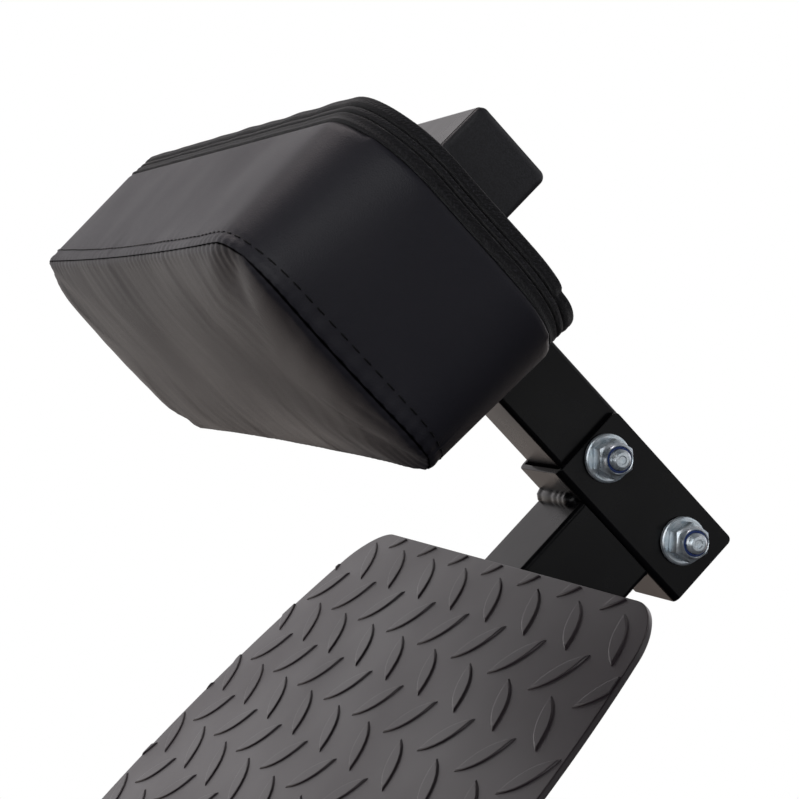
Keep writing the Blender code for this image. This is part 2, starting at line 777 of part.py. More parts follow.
def make_frame():
    """Rail, beam, uprights, floor tube and cross feet."""
    square_tube(
        "foot_rail",
        LARGE_TUBE,
        -(BEAM_DROP - TOUCH),
        -(WEB_FACE + TOUCH),
        "Z",
        (RAIL_CENTRE_X, 0, 0),
    )
    beam = square_tube(
        "main_beam", LARGE_TUBE, -BEAM_LOWER_REACH, BEAM_TOP, "X", (0, 0, BEAM_CENTRE_Z)
    )
    floor_top = FLOOR_TUBE_TOP + TOUCH
    below = box_mesh(
        "below_beam",
        (-CUTTER_REACH, -CUTTER_REACH, floor_top - CUTTER_REACH),
        (CUTTER_REACH, CUTTER_REACH, floor_top),
    )
    combine(beam, add_cutter("below_beam", below, BENCH))
    upright_places = {
        "rear_upright": leg_to_bench(RAIL_UNDERSIDE_X, -REAR_UPRIGHT_DROP).x,
        "front_upright": FRONT_UPRIGHT_PLACE,
    }
    cut_low = {
        "rear_upright": (RAIL_UNDERSIDE_X - TOUCH, -CUTTER_REACH, -CUTTER_REACH),
        "front_upright": (-CUTTER_REACH, -CUTTER_REACH, BEAM_UNDERSIDE_Z - TOUCH),
    }
    for name, x in upright_places.items():
        upright = square_tube(
            name, LARGE_TUBE, floor_top, LEG_LINE_HEIGHT, "Z", (x, 0, 0), BENCH
        )
        above = box_mesh("above_" + name, cut_low[name], (CUTTER_REACH,) * 3)
        combine(upright, add_cutter("above_" + name, above))
    height = SOLE_THICKNESS + LARGE_TUBE / 2
    half = LARGE_TUBE / 2
    rear, front = -LEG_LINE_TO_REAR_FOOT, LEG_LINE_TO_FRONT_FOOT
    square_tube(
        "floor_tube", LARGE_TUBE, rear + half + TOUCH, front - half - TOUCH, "X", (0, 0, height), BENCH
    )
    for end, x in (("rear", rear), ("front", front)):
        reach = CROSS_FOOT_LENGTH / 2 - FOOT_CAP_WALL
        square_tube(end + "_cross_foot", LARGE_TUBE, -reach, reach, "Y", (x, 0, height), BENCH)
        for side, sign in SIDES.items():
            foot_cap("foot_cap_" + end + "_" + side, x, sign * reach, sign)


def leg_to_bench(x, z):
    """A leg line place, in the bench's own directions from the point below its origin."""
    return Matrix.Rotation(-LEG_ANGLE, 3, "Y") @ Vector((x, 0, z)) + Vector((0, 0, LEG_LINE_HEIGHT))


def foot_cap(name, x, y, sign):
    """A rubber cap: a lip over the tube's end, a plug inside and a sole underneath."""
    half = LARGE_TUBE / 2 + SOLE_SPREAD
    top = SOLE_THICKNESS + LARGE_TUBE
    matrix = Matrix.Translation((x, y, 0))
    if sign < 0:
        matrix = matrix @ Matrix.Rotation(math.pi, 4, "Z")
    lip = box_mesh(
        name,
        (-half, TOUCH, 0),
        (half, FOOT_CAP_WALL + TOUCH, top + SOLE_SPREAD),
        FOOT_CAP_CORNER,
        along=1,
    )
    cap = add_part(name, lip, RUBBER, BENCH, matrix)
    sole = box_mesh(
        name + "_sole",
        (-half, -SOLE_LENGTH, 0),
        (half, FOOT_CAP_WALL / 2, SOLE_THICKNESS - TOUCH),
    )
    combine(cap, add_cutter(name + "_sole", sole, BENCH, matrix), "UNION")
    plug_half = LARGE_TUBE / 2 - TUBE_WALL - TOUCH
    centre = SOLE_THICKNESS + LARGE_TUBE / 2
    plug = box_mesh(
        name + "_plug",
        (-plug_half, -CAP_PLUG, centre - plug_half),
        (plug_half, FOOT_CAP_WALL / 2, centre + plug_half),
        TUBE_CORNER - TUBE_WALL + TOUCH,
        along=1,
    )
    combine(cap, add_cutter(name + "_plug", plug, BENCH, matrix), "UNION")


def make_wheels():
    """Two small wheels in forks behind the rear cross foot, just clear of the floor."""
    axle_x = -(LEG_LINE_TO_REAR_FOOT + LARGE_TUBE / 2 + WHEEL_REACH)
    axle_z = WHEEL_RADIUS + WHEEL_LIFT
    inner = WHEEL_WIDTH / 2 + SLIDE_GAP
    web_x = -(LEG_LINE_TO_REAR_FOOT + LARGE_TUBE / 2 + TOUCH)
    for side, sign in SIDES.items():
        place = (axle_x, sign * WHEEL_SIDE_PLACE, axle_z)
        axle_line = along_axis("Y", place)
        bm = box_bmesh(
            (axle_x - AXLE_HEAD_RADIUS, -inner, axle_z - FORK_HEIGHT / 2),
            (web_x - FORK_WALL, inner, axle_z + FORK_HEIGHT / 2),
        )
        gone = [face for face in bm.faces if face.normal.x < -SAME_WAY or abs(face.normal.z) > SAME_WAY]
        bmesh.ops.delete(bm, geom=gone, context="FACES")
        name = "wheel_fork_" + side
        fork = add_part(
            name,
            mesh_from(bm, name),
            POWDER_COAT,
            BENCH,
            Matrix.Translation((0, sign * WHEEL_SIDE_PLACE, 0)),
        )
        wall = fork.modifiers.new("wall", "SOLIDIFY")
        wall.thickness = FORK_WALL
        wall.offset = 1.0
        wall.use_even_offset = True
        reach = inner + FORK_WALL + CUTTER_MARGIN
        hole = cylinder_mesh(name + "_hole", AXLE_RADIUS + HOLE_GAP, -reach, reach)
        combine(fork, add_cutter(name + "_hole", hole, BENCH, axle_line))
        bore = AXLE_RADIUS + HOLE_GAP
        half = WHEEL_WIDTH / 2
        rim = (
            (WHEEL_HUB_RADIUS, half),
            (WHEEL_HUB_RADIUS + WHEEL_HUB_STEP, half - WHEEL_HUB_STEP),
            (WHEEL_RADIUS - 2 * WHEEL_EDGE, half - WHEEL_HUB_STEP),
            (WHEEL_RADIUS - WHEEL_EDGE, half),
            (WHEEL_RADIUS, half - WHEEL_EDGE),
        )
        profile = rim + tuple((radius, -height) for radius, height in reversed(rim))
        profile += ((bore, -half), (bore, half))
        turned("wheel_" + side, profile, RUBBER, axle_line, BENCH)
        end = inner + FORK_WALL + TOUCH
        axle = (
            (0, end + AXLE_HEAD_HEIGHT),
            (AXLE_HEAD_RADIUS, end + AXLE_HEAD_HEIGHT),
            (AXLE_HEAD_RADIUS, end),
            (AXLE_RADIUS, end),
            (AXLE_RADIUS, -end),
            (AXLE_HEAD_RADIUS, -end),
            (AXLE_HEAD_RADIUS, -end - AXLE_HEAD_HEIGHT),
            (0, -end - AXLE_HEAD_HEIGHT),
        )
        turned("wheel_axle_" + side, axle, ZINC, axle_line, BENCH, SMALL_STEPS, closed=False)


def make_slider():
    """The sliding tube, its bush in the beam's mouth, its glide and its cap."""
    centre = (0, 0, BEAM_CENTRE_Z)
    slider = square_tube("slider_tube", SMALL_TUBE, SLIDER_BOTTOM, SLIDER_TOP, "X", centre)
    bm = bmesh.new()
    for step in range(-HOLES_BELOW_PIN, HOLES_ABOVE_PIN + 1):
        made = bmesh.ops.create_cone(
            bm,
            cap_ends=True,
            segments=SMALL_STEPS,
            radius1=PIN_RADIUS + HOLE_GAP,
            radius2=PIN_RADIUS + HOLE_GAP,
            depth=SMALL_TUBE / 2,
        )["verts"]
        bmesh.ops.translate(bm, verts=made, vec=(PIN_PLACE + step * HOLE_PITCH, 0, 0))
    holes = mesh_from(bm, "slider_holes")
    turn = Matrix.Translation((0, SMALL_TUBE / 2, BEAM_CENTRE_Z)) @ Matrix.Rotation(math.pi / 2, 4, "X")
    combine(slider, add_cutter("slider_holes", holes, LEG_LINE, turn))

    outer = LARGE_TUBE / 2 - TUBE_WALL - TOUCH
    inner = SMALL_TUBE / 2 + SLIDE_GAP
    place = along_axis("X", (BEAM_TOP, 0, BEAM_CENTRE_Z))
    lip = box_mesh(
        "guide_bush",
        (-LARGE_TUBE / 2, -LARGE_TUBE / 2, TOUCH),
        (LARGE_TUBE / 2, LARGE_TUBE / 2, TOUCH + BUSH_LIP),
        TUBE_CORNER,
        along=2,
    )
    bush = add_part("guide_bush", lip, PLASTIC, LEG_LINE, place)
    sleeve = box_mesh(
        "bush_sleeve",
        (-outer, -outer, -BUSH_LENGTH),
        (outer, outer, TOUCH + BUSH_LIP / 2),
        TUBE_CORNER - TUBE_WALL + TOUCH,
        along=2,
    )
    combine(bush, add_cutter("bush_sleeve", sleeve, LEG_LINE, place), "UNION")
    mouth = box_mesh(
        "bush_mouth",
        (-inner, -inner, -BUSH_LENGTH - CUTTER_MARGIN),
        (inner, inner, BUSH_LIP + CUTTER_MARGIN),
        TUBE_CORNER,
        along=2,
    )
    combine(bush, add_cutter("bush_mouth", mouth, LEG_LINE, place))

    end = along_axis("X", (SLIDER_BOTTOM, 0, BEAM_CENTRE_Z))
    runner = LARGE_TUBE / 2 - TUBE_WALL - SLIDE_GAP
    block = box_mesh(
        "slider_glide",
        (-runner, -runner, -GLIDE_LENGTH - TOUCH),
        (runner, runner, -TOUCH),
        TUBE_CORNER - TUBE_WALL + SLIDE_GAP,
        along=2,
    )
    glide = add_part("slider_glide", block, PLASTIC, LEG_LINE, end)
    plug_half = SMALL_TUBE / 2 - TUBE_WALL - TOUCH
    plug = box_mesh(
        "glide_plug",
        (-plug_half, -plug_half, -GLIDE_LENGTH / 2),
        (plug_half, plug_half, CAP_PLUG),
        TUBE_CORNER - TUBE_WALL + TOUCH,
        along=2,
    )
    combine(glide, add_cutter("glide_plug", plug, LEG_LINE, end), "UNION")
    tube_cap("slider_cap", SMALL_TUBE, TUBE_WALL, "X", (SLIDER_TOP, 0, BEAM_CENTRE_Z), 1)


def make_hip_pads():
    """The riser, cross tube, plates, boards and cushions that the slider carries."""
    slider_top_z = BEAM_CENTRE_Z + SMALL_TUBE / 2
    tube_centre_z = PAD_TUBE_TOP_Z - SMALL_TUBE / 2
    square_tube(
        "pad_riser",
        SMALL_TUBE,
        slider_top_z + TOUCH,
        PAD_TUBE_TOP_Z - SMALL_TUBE - TOUCH,
        "Z",
        (PAD_TUBE_CENTRE_X, 0, 0),
    )
    half = PAD_TUBE_LENGTH / 2
    square_tube("pad_cross_tube", SMALL_TUBE, -half, half, "Y", (PAD_TUBE_CENTRE_X, 0, tube_centre_z))
    for side, sign in SIDES.items():
        y = sign * HIP_PAD_SIDE_PLACE
        plate = rounded_rectangle(
            PAD_PLATE_LENGTH / 2, PAD_PLATE_WIDTH / 2, PAD_PLATE_CORNER, CORNER_STEPS
        )
        flat_plate(
            "pad_plate_" + side,
            plate,
            PAD_PLATE_THICKNESS,
            POWDER_COAT,
            Matrix.Translation((PAD_TUBE_CENTRE_X, y, PAD_TUBE_TOP_Z + TOUCH)),
        )
        base = (HIP_PAD_LENGTH / 2, HIP_PAD_WIDTH / 2, HIP_PAD_CORNER)
        board = [size - HIP_BOARD_INSET for size in base]
        flat_plate(
            "hip_pad_board_" + side,
            rounded_rectangle(*board, PAD_CORNER_STEPS),
            HIP_BOARD_THICKNESS,
            PLYWOOD,
            Matrix.Translation((PAD_TUBE_CENTRE_X, y, PAD_PLATE_TOP_Z + TOUCH)),
        )
        face = (
            base[0] - HIP_PAD_FACE_INSET,
            base[1] - HIP_PAD_FACE_INSET,
            HIP_PAD_FACE_CORNER,
        )
        cushion(
            "hip_pad_" + side,
            base,
            face,
            HIP_PAD_DEPTH,
            HIP_PAD_CROWN,
            Matrix.Translation((PAD_TUBE_CENTRE_X, y, BOARD_TOP_Z + TOUCH)),
        )


def handle_path():
    """The handle's centre line from its plate, as seen for the left side."""
    points = [Vector((0, 0, 0))]
    straight = HANDLE_REACH - HANDLE_BEND
    up = Vector((math.sin(HANDLE_LEAN), 0, math.cos(HANDLE_LEAN)))
    out = Vector((0, 1, 0))
    steps = 2 * CORNER_STEPS
    centre = out * straight + up * HANDLE_BEND
    for step in range(steps + 1):
        angle = math.radians(90) * step / steps
        points.append(
            centre + out * HANDLE_BEND * math.sin(angle) - up * HANDLE_BEND * math.cos(angle)
        )
    points.append(out * HANDLE_REACH + up * HANDLE_RISE)
    return points, up


def make_handles():
    """Two bent tubes on the ends of the pad cross tube, each with a rubber grip."""
    tube_centre_z = PAD_TUBE_TOP_Z - SMALL_TUBE / 2
    points, up = handle_path()
    for side, sign in SIDES.items():
        start = Vector((PAD_TUBE_CENTRE_X, sign * (PAD_TUBE_LENGTH / 2 + TOUCH), tube_centre_z))
        curve = bpy.data.curves.new("handle_" + side, "CURVE")
        curve.dimensions = "3D"
        curve.bevel_depth = HANDLE_RADIUS
        curve.bevel_resolution = 3
        curve.use_fill_caps = True
        spline = curve.splines.new("POLY")
        spline.points.add(len(points) - 1)
        for point, place in zip(spline.points, points):
            point.co = (place.x, sign * (place.y + HANDLE_PLATE / 2), place.z, 1)
        handle = as_mesh(
            add_part("handle_" + side, curve, POWDER_COAT, LEG_LINE, Matrix.Translation(start))
        )
        half = SMALL_TUBE / 2
        low, high = sorted((0.0, sign * HANDLE_PLATE))
        foot = box_mesh("handle_foot", (-half, low, -half), (half, high, half), TUBE_CORNER, along=1)
        combine(
            handle, add_cutter("handle_foot_" + side, foot, LEG_LINE, Matrix.Translation(start)), "UNION"
        )
        tip = points[-1] + Vector((0, HANDLE_PLATE / 2, 0))
        tip.y *= sign
        inner = HANDLE_RADIUS + TOUCH
        outer = inner + GRIP_WALL
        profile = (
            (0, TOUCH + GRIP_END_WALL),
            (outer - GRIP_EDGE, TOUCH + GRIP_END_WALL),
            (outer, TOUCH + GRIP_END_WALL - GRIP_EDGE),
            (outer, -GRIP_LENGTH + GRIP_EDGE),
            (outer - GRIP_EDGE, -GRIP_LENGTH),
            (inner, -GRIP_LENGTH),
            (inner, TOUCH),
            (0, TOUCH),
        )
        turned(
            "grip_" + side,
            profile,
            RUBBER,
            Matrix.Translation(start + tip) @ Matrix.Rotation(HANDLE_LEAN, 4, "Y"),
            closed=False,
        )


def make_spring_pin():
    """The spring pin on the beam's left side, drawn back and parked, clear of the slider."""
    line = along_axis("Y", (PIN_PLACE, 0, BEAM_CENTRE_Z))
    wall = cylinder_mesh(
        "beam_pin_hole", PIN_RADIUS + HOLE_GAP, BEAM_SIDE - 2 * TUBE_WALL, BEAM_SIDE + CUTTER_MARGIN
    )
    combine(bpy.data.objects["main_beam"], add_cutter("beam_pin_hole", wall, LEG_LINE, line))
    back = BEAM_SIDE + TOUCH
    end = back + HOUSING_LENGTH
    rod_bore = PIN_ROD_RADIUS + HOLE_GAP
    pin_bore = PIN_RADIUS + HOLE_GAP
    seat = back + HOUSING_END_WALL
    top = end - HOUSING_END_WALL
    housing = (
        (HOUSING_RADIUS - HOUSING_EDGE, end),
        (HOUSING_RADIUS, end - HOUSING_EDGE),
        (HOUSING_RADIUS, back),
        (pin_bore, back),
        (pin_bore, seat),
        (HOUSING_BORE, seat),
        (HOUSING_BORE, top),
        (rod_bore, top),
        (rod_bore, end),
    )
    turned("pin_housing", housing, ZINC, line, steps=SMALL_STEPS)
    collar = seat + PIN_TRAVEL + SLIDE_GAP
    collar_top = collar + PIN_COLLAR_LENGTH
    knob_back = end + PIN_TRAVEL + SLIDE_GAP
    rod_end = knob_back + PIN_HOLD
    plunger = (
        (0, rod_end),
        (PIN_ROD_RADIUS, rod_end),
        (PIN_ROD_RADIUS, collar_top),
        (PIN_COLLAR_RADIUS, collar_top),
        (PIN_COLLAR_RADIUS, collar),
        (PIN_RADIUS, collar),
        (PIN_RADIUS, PIN_PARKED + TIP_CHAMFER),
        (PIN_RADIUS - TIP_CHAMFER, PIN_PARKED),
        (0, PIN_PARKED),
    )
    turned("pin_plunger", plunger, ZINC, line, steps=SMALL_STEPS, closed=False)
    bore = PIN_ROD_RADIUS + TOUCH
    knob = [(0, knob_back + KNOB_LENGTH)]
    knob += [(KNOB_RADIUS * out, knob_back + KNOB_LENGTH * rise) for out, rise in KNOB_PROFILE]
    knob += [
        (KNOB_NECK_RADIUS, knob_back + KNOB_LENGTH * KNOB_NECK_SHARE),
        (KNOB_NECK_RADIUS, knob_back),
        (bore, knob_back),
        (bore, rod_end + TOUCH),
        (0, rod_end + TOUCH),
    ]
    turned("pin_knob", knob, PLASTIC, line, closed=False)
    make_pin_spring(line, collar_top + TOUCH + SPRING_WIRE, top - TOUCH - SPRING_WIRE)


def make_pin_spring(line, low, high):
    """The coil between the pin's collar and the housing's end wall."""
    steps = SPRING_TURNS * SPRING_STEPS
    curve = bpy.data.curves.new("pin_spring", "CURVE")
    curve.dimensions = "3D"
    curve.bevel_depth = SPRING_WIRE
    curve.bevel_resolution = 1
    curve.use_fill_caps = True
    spline = curve.splines.new("POLY")
    spline.points.add(steps)
    for step, point in enumerate(spline.points):
        angle = 2 * math.pi * step / SPRING_STEPS
        height = low + (high - low) * step / steps
        point.co = (SPRING_RADIUS * math.cos(angle), SPRING_RADIUS * math.sin(angle), height, 1)
    add_part("pin_spring", curve, SPRING_STEEL, LEG_LINE, line)
    gap = (high - low) / SPRING_TURNS - 2 * SPRING_WIRE
    print(f"least gap between the spring's turns: {gap * 1000:.2f} mm")


def make_clamp():
    """The clamp screw on the beam's right side, with its welded boss and star knob."""
    line = along_axis("Y", (PIN_PLACE, 0, BEAM_CENTRE_Z)) @ Matrix.Rotation(math.pi, 4, "X")
    bore = CLAMP_SCREW_RADIUS + HOLE_GAP
    wall = cylinder_mesh("beam_clamp_hole", bore, BEAM_SIDE - 2 * TUBE_WALL, BEAM_SIDE + CUTTER_MARGIN)
    combine(bpy.data.objects["main_beam"], add_cutter("beam_clamp_hole", wall, LEG_LINE, line))
    back = BEAM_SIDE + TOUCH
    boss_end = back + CLAMP_BOSS_LENGTH
    boss = (
        (CLAMP_BOSS_RADIUS, boss_end),
        (CLAMP_BOSS_RADIUS, back),
        (bore, back),
        (bore, boss_end),
    )
    turned("clamp_boss", boss, POWDER_COAT, line)
    knob_back = boss_end + CLAMP_SCREW_STICK_OUT
    screw_end = knob_back + CLAMP_SCREW_HOLD
    tip = SMALL_TUBE / 2 + TOUCH
    screw = (
        (0, screw_end),
        (CLAMP_SCREW_RADIUS, screw_end),
        (CLAMP_SCREW_RADIUS, tip + TIP_CHAMFER),
        (CLAMP_SCREW_RADIUS - TIP_CHAMFER, tip),
        (0, tip),
    )
    turned("clamp_screw", screw, ZINC, line, steps=SMALL_STEPS, closed=False)
    steps = CLAMP_KNOB_LOBES * LOBE_STEPS
    bm = bmesh.new()
    bmesh.ops.create_circle(bm, cap_ends=True, segments=steps, radius=1.0)
    for vert in bm.verts:
        angle = math.atan2(vert.co.y, vert.co.x)
        dip = (1 - math.cos(CLAMP_KNOB_LOBES * angle)) / 2
        radius = CLAMP_KNOB_RADIUS - CLAMP_KNOB_LOBE_DEPTH * dip
        vert.co = (radius * math.cos(angle), radius * math.sin(angle), knob_back)
    grown = bmesh.ops.extrude_face_region(bm, geom=list(bm.faces))["geom"]
    top_verts = [item for item in grown if isinstance(item, bmesh.types.BMVert)]
    bmesh.ops.translate(bm, verts=top_verts, vec=(0, 0, CLAMP_KNOB_LENGTH))
    rims = [edge for edge in bm.edges if abs(edge.verts[0].co.z - edge.verts[1].co.z) < TOUCH]
    bmesh.ops.bevel(bm, geom=rims, offset=CLAMP_KNOB_EDGE, segments=1, affect="EDGES")
    knob = add_part("clamp_knob", mesh_from(bm, "clamp_knob"), PLASTIC, LEG_LINE, line)
    bore = CLAMP_SCREW_RADIUS + TOUCH
    socket = cylinder_mesh(
        "knob_socket", bore, knob_back - CUTTER_MARGIN, screw_end + TOUCH, ROUND_STEPS
    )
    combine(knob, add_cutter("knob_socket", socket, LEG_LINE, line))


def centre_on_floor():
    """Move the bench so that the middle of its length lies over the origin."""
    bpy.context.view_layer.update()
    graph = bpy.context.evaluated_depsgraph_get()
    ends = []
    for obj in PARTS.objects:
        if obj.type == "EMPTY":
            continue
        evaluated = obj.evaluated_get(graph)
        mesh = evaluated.to_mesh()
        ends += [(evaluated.matrix_world @ vert.co).x for vert in mesh.vertices]
        evaluated.to_mesh_clear()
    BENCH.location.x = -(min(ends) + max(ends)) / 2


def main():
    make_calf_post()
    make_calf_pad()
    make_bracket()
    make_bolts()
    make_frame()
    make_foot_plate()
    make_wheels()
    make_slider()
    make_hip_pads()
    make_handles()
    make_spring_pin()
    make_clamp()
    centre_on_floor()


main()
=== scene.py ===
"""Hyperextension bench: the visual model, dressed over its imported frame.

The foot end follows the photograph. Lengths are in metres. The leg line is a place at 45
degrees: local X runs up the legs, local Y to the user's left, local Z away from the rail.
"""
import math

import bmesh
import bpy
from mathutils import Matrix, Vector, noise


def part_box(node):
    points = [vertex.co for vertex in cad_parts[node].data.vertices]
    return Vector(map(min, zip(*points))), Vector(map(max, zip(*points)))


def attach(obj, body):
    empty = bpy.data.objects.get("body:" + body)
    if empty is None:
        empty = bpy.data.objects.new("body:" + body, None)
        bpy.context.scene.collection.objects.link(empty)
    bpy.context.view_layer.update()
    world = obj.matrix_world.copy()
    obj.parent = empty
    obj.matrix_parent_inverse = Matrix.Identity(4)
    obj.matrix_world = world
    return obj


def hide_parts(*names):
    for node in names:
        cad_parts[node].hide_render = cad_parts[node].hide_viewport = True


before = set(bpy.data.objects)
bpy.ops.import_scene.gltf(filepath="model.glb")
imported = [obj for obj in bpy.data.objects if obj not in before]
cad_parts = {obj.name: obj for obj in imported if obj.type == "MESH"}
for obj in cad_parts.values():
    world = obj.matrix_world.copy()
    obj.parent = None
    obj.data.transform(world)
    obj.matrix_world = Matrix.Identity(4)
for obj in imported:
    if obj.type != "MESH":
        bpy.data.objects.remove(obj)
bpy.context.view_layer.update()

bl_info = {
    "name": "Hyperextension bench",
    "version": (1, 0, 0),
    "blender": (4, 5, 0),
    "location": "View3D > Sidebar > Bench",
    "description": "Builds the cushions, tubes, fasteners and finishes of a hyperextension bench",
    "category": "Object",
}

# Places and sizes that the pieces share with the frame
TOUCH = 0.0003
SMALL_TUBE = 0.040
LARGE_TUBE = 0.050
TUBE_WALL = 0.0025
TUBE_CORNER = 0.0026
FRAME_CORNER = 0.004
CAP_CORNER = 0.0035
LEG_ANGLE = math.radians(45.0)
CALF_TUBE_PLACE = 0.158
CALF_TUBE_LENGTH = 0.322
CALF_POST_END = 0.138
CALF_TAPE = (0.0625, 0.2095, 0.040)
CALF_BASE = (0.0636, 0.2095, 0.040)
CALF_FACE = (0.0620, 0.1965, 0.029)
CALF_SEAM = 0.0657
CALF_DOME = 0.0045
CALF_DROP = 0.0011
# How much further the seam stands out at the lower side, from there to the far end, and
# halfway along the short sides
CALF_RISE = (0.0023, 0.0013, 0.0013)
CALF_TURN = math.radians(1.0)
BOARD_THICKNESS = 0.013
BRACKET_LENGTH = 0.090
BRACKET_WALL = 0.003
BRACKET_GAP = 0.0013
BRACKET_BEND = 0.0036
BRACKET_CORNER = 0.003
BRACKET_FLANGE_DROP = 0.0015
WEB_FACE = SMALL_TUBE + BRACKET_GAP + BRACKET_WALL
FLANGE_FACE = SMALL_TUBE / 2 + BRACKET_GAP + BRACKET_WALL
BOLT_PLACES = {"upper": -0.013, "lower": -0.0705}
BOLT_DROP = 0.021
BOLT_RADIUS = 0.005
WASHER_RADIUS = 0.0120
WASHER_THICKNESS = 0.0025
NUT_ACROSS = 0.017
NUT_HEIGHT = 0.0085
COLLAR_RADIUS = 0.0075
THREAD_PITCH = 0.00175
COLLAR_HEIGHT = 0.0035
HEAD_ACROSS = 0.017
HEAD_HEIGHT = 0.0065
BOLT_STICK_OUT = 0.003
RAIL_DROP = 0.019
PLATE_THICKNESS = 0.003
PLATE_HEEL = 0.0905
PLATE_TOE = 0.410
PLATE_WIDTH = 0.435
PLATE_WIDEST = 0.270
PLATE_SIDE_RADIUS = 0.455
PLATE_SIDE_SHIFT = 0.0033
PLATE_CORNER = 0.025
LUG_SIZE = (0.0175, 0.0046)
LUG_PITCH = 0.046
LUG_FIRST_ROW = 0.1106
LUG_SIDE_SHIFT = -0.0132
BEAM_DROP = 0.440
PAD_TUBE_PLACE = 0.680
HIP_BASE = (0.125, 0.085, 0.045)
HIP_FACE = (0.115, 0.075, 0.040)
HIP_SEAM = 0.0590
HIP_DOME = 0.0060
HIP_SIDE_PLACE = 0.107
HIP_BOARD_TOP = -0.3283
HIP_BOARD_THICKNESS = 0.012
HIP_PLATE_FACE = -0.3446
HIP_SCREWS = (0.055, 0.028)
RISER_ENDS = {"low": -0.4447, "high": -0.3852}
STAPLE_LENGTH = 0.010
STAPLE_RADIUS = 0.0005
STAPLE_INSET = 0.0165
AIR_PRESSURE = 4.0
AIR_FRAMES = 20
HANDLE_LEAN = math.radians(20.0)
GRIP_RADIUS = 0.0168
GRIP_BORE = 0.0128
GRIP_LENGTH = 0.1143
# The camera that was fitted to the photograph: where it stands, and its own right and back
CAMERA_PLACE = Vector((0.13205, 0.95254, 0.48554))
CAMERA_RIGHT = Vector((-0.94462, 0.32806, 0.00837))
CAMERA_BACK = Vector((0.32816, 0.94424, 0.02676))
CAMERA_LENS = 95.55
SIDES = {"left": 1, "right": -1}
FINISHES = {}

calf_low, calf_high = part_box("calf_cross_tube")
CALF_TUBE_CENTRE = (calf_low + calf_high) / 2
TURN = Matrix.Rotation(-LEG_ANGLE, 4, "Y")
LEG_LINE = Matrix.Translation(
    CALF_TUBE_CENTRE - TURN @ Vector((CALF_TUBE_PLACE, 0, -SMALL_TUBE / 2))
) @ TURN


def quarter_turn(axis, sense=1):
    """A turn of 90 degrees round an axis."""
    return Matrix.Rotation(math.radians(90 * sense), 4, axis)


def sole(piece):
    """Make one piece the only selected and the active object."""
    bpy.ops.object.select_all(action="DESELECT")
    piece.select_set(True)
    bpy.context.view_layer.objects.active = piece


def settle(piece, place=LEG_LINE):
    """Turn a piece from its own directions into the bench's, with its place in its mesh."""
    sole(piece)
    piece.matrix_world = place @ piece.matrix_world
    bpy.ops.object.transform_apply(location=True, rotation=True, scale=True)
    return piece


def pick(piece, kind, wanted):
    """Enter edit mode with only those vertices, edges or faces selected that the test wants."""
    if bpy.context.mode != "OBJECT":
        bpy.ops.object.mode_set(mode="OBJECT")
    sole(piece)
    bpy.ops.object.mode_set(mode="EDIT")
    bpy.ops.mesh.select_mode(type=kind)
    bpy.ops.mesh.select_all(action="DESELECT")
    mesh = bmesh.from_edit_mesh(piece.data)
    for item in {"VERT": mesh.verts, "EDGE": mesh.edges, "FACE": mesh.faces}[kind]:
        if wanted(item):
            item.select_set(True)
    bmesh.update_edit_mesh(piece.data)


def apply(piece, name, kind, **settings):
    """Add a modifier, set it, and apply it."""
    sole(piece)
    modifier = piece.modifiers.new(name, kind)
    for key, value in settings.items():
        setattr(modifier, key, value)
    bpy.ops.object.modifier_apply(modifier=name)


def smooth(piece, angle=35.0):
    """Shade a piece smooth, apart from its sharp edges, with its flat faces kept flat."""
    sole(piece)
    bpy.ops.object.shade_smooth_by_angle(angle=math.radians(angle))
    if angle < 60:
        apply(piece, "flat_faces", "WEIGHTED_NORMAL", keep_sharp=True)


def soften(piece, width, angle):
    """Round the sharp edges a little, so that they catch light."""
    apply(
        piece, "soft_edges", "BEVEL", width=width, segments=2, limit_method="ANGLE",
        angle_limit=math.radians(angle), use_clamp_overlap=True,
    )
    smooth(piece, angle)


def raised(outline, height):
    """An outline at another height."""
    return [point + Vector((0, 0, height)) for point in outline]


def copied(one, place):
    """A copy of a piece at a place, with its own mesh."""
    copy = one.copy()
    copy.data = one.data.copy()
    bpy.context.scene.collection.objects.link(copy)
    copy.matrix_world = place
    return copy


def joined(pieces, name):
    """One piece made of several, with its place in its mesh."""
    bpy.ops.object.select_all(action="DESELECT")
    for piece in pieces:
        piece.select_set(True)
    bpy.context.view_layer.objects.active = pieces[0]
    bpy.ops.object.join()
    whole = bpy.context.object
    whole.name = name
    bpy.ops.object.transform_apply(location=True, rotation=True, scale=True)
    return whole


